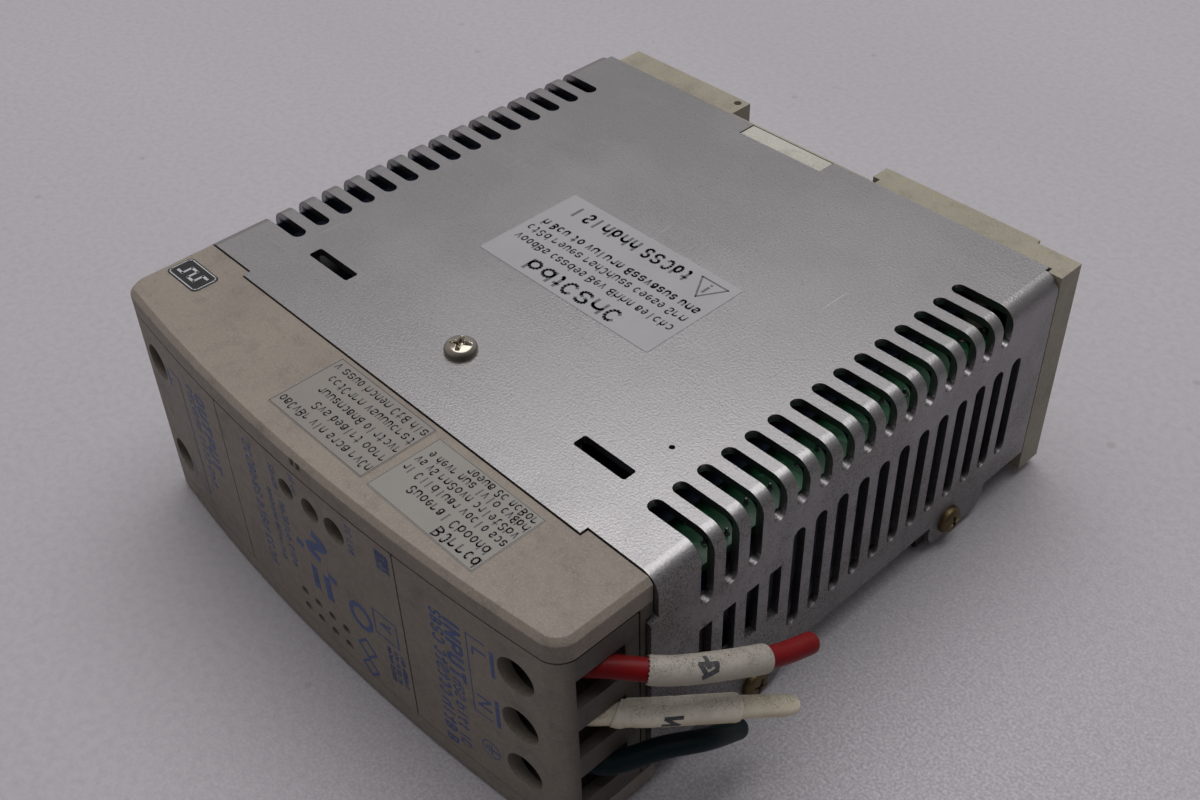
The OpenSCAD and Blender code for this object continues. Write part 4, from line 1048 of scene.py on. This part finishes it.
def stranded():
    """Twisted strands of the three stripped ends."""
    verts, faces = [], []
    for colour, t in (("red", "live"), ("white", "neutral"), ("green", "earth")):
        x, y0, z0 = ROUTES[colour][0]
        y, z1 = -53.85, TERM_Z[t] + 2.75
        line = catmull([(x - 0.1, y0, z0), (51.2, y, (z0 + z1) / 2), (50, y, z1), (45.6, y, z1)], 8)
        base = frames(line)
        for s in range(7):
            off = 0.0 if s == 6 else STRAND_R * 0.62
            path = []
            for i, p in enumerate(line):
                a = s * math.pi / 3 + i * 0.28
                path.append(p + off * (math.cos(a) * base[i][1] + math.sin(a) * base[i][2]))
            v, f = tube(path, lambda q, a: STRAND_R * 0.34, 8)
            k = len(verts)
            verts += v
            faces += [tuple(k + i for i in q) for q in f]
    ob = mesh_piece("stripped_strands", verts, faces)
    paint(ob, MATS["strand_copper"])
    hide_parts("bare_ends")
    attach(ob, "chassis")


stranded()


def solder_joints():
    """Domed solder joints with cut leads on the board, where the slots show them."""
    rng = random.Random(31)
    verts, faces = [], []
    spots = []
    for s in (1, -1):
        y = -33.0
        while y < 51:
            spots.append((s * rng.uniform(49.5, 52.4), y))
            if rng.random() < 0.6:
                spots.append((s * rng.uniform(44.5, 47.8), y + rng.uniform(0, 2)))
            y += rng.uniform(2.4, 5.6)
    sides = 14
    for x, y in spots:
        r, h = rng.uniform(0.45, 0.85), rng.uniform(0.35, 0.6)
        profile = [(r, 0.0), (r * 0.72, h * 0.32), (r * 0.42, h * 0.75), (0.32, h), (0.30, h + 0.7),
                   (0.22, h + 0.8)]
        base = len(verts)
        for pr, pz in profile:
            for k in range(sides):
                a = 2 * math.pi * k / sides
                verts.append((x + pr * math.cos(a), y + pr * math.sin(a), BOARD_TOP + pz))
        for i in range(len(profile) - 1):
            for k in range(sides):
                a, b = base + i * sides + k, base + i * sides + (k + 1) % sides
                faces.append((a, b, b + sides, a + sides))
        faces.append(tuple(base + k for k in range(sides))[::-1])
        top = base + (len(profile) - 1) * sides
        faces.append(tuple(top + k for k in range(sides)))
    ob = mesh_piece("solder_joints", verts, faces)
    paint(ob, simple("solder", (0.20, 0.20, 0.21), 0.45, 1.0, grain=1500))
    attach(ob, "chassis")


solder_joints()


# ------------------------------------------------------------------ floor and light
BRIGHT_SIDE = (-0.72, 0.42, 0.55)  # where the dome is brightest
DOME_STRENGTH = (0.02, 0.49)  # away from it, and towards it


def make_floor():
    half = 1.6 / MM
    corners = [(-half, -half, 0), (half, -half, 0), (half, half, 0), (-half, half, 0)]
    ob = mesh_piece("floor", corners, [(0, 1, 2, 3)], smooth=False)
    paint(ob, floor_finish())


def area_light(name, at, aim, size, power):
    data = bpy.data.lights.new(name, "AREA")
    data.shape, data.size, data.energy = "DISK", size, power
    ob = bpy.data.objects.new(name, data)
    ob.location = at
    ob.rotation_euler = (Vector(aim) - Vector(at)).to_track_quat("-Z", "Y").to_euler()
    bpy.context.scene.collection.objects.link(ob)


def make_world():
    """Plain dome, brightest towards the upper left rear."""
    world = bpy.data.worlds.new("studio")
    bpy.context.scene.world = world
    world.use_nodes = True
    tree = world.node_tree
    back = next(n for n in tree.nodes if n.type == "BACKGROUND")
    coord = tree.nodes.new("ShaderNodeTexCoord")
    dot = tree.nodes.new("ShaderNodeVectorMath")
    dot.operation = "DOT_PRODUCT"
    dot.inputs[1].default_value = Vector(BRIGHT_SIDE).normalized()
    span = tree.nodes.new("ShaderNodeMapRange")
    tree.links.new(coord.outputs["Generated"], dot.inputs[0])
    tree.links.new(dot.outputs["Value"], span.inputs[0])
    for i, v in enumerate((-1.0, 1.0, *DOME_STRENGTH), 1):
        span.inputs[i].default_value = v
    tree.links.new(span.outputs[0], back.inputs["Strength"])
    back.inputs["Color"].default_value = (1.0, 0.985, 1.0, 1)


make_floor()
area_light("key", at=(-0.17, 0.29, 1.38), aim=(0, 0, 0), size=1.6, power=17.4)
make_world()
bpy.context.scene.view_settings.view_transform = "Standard"
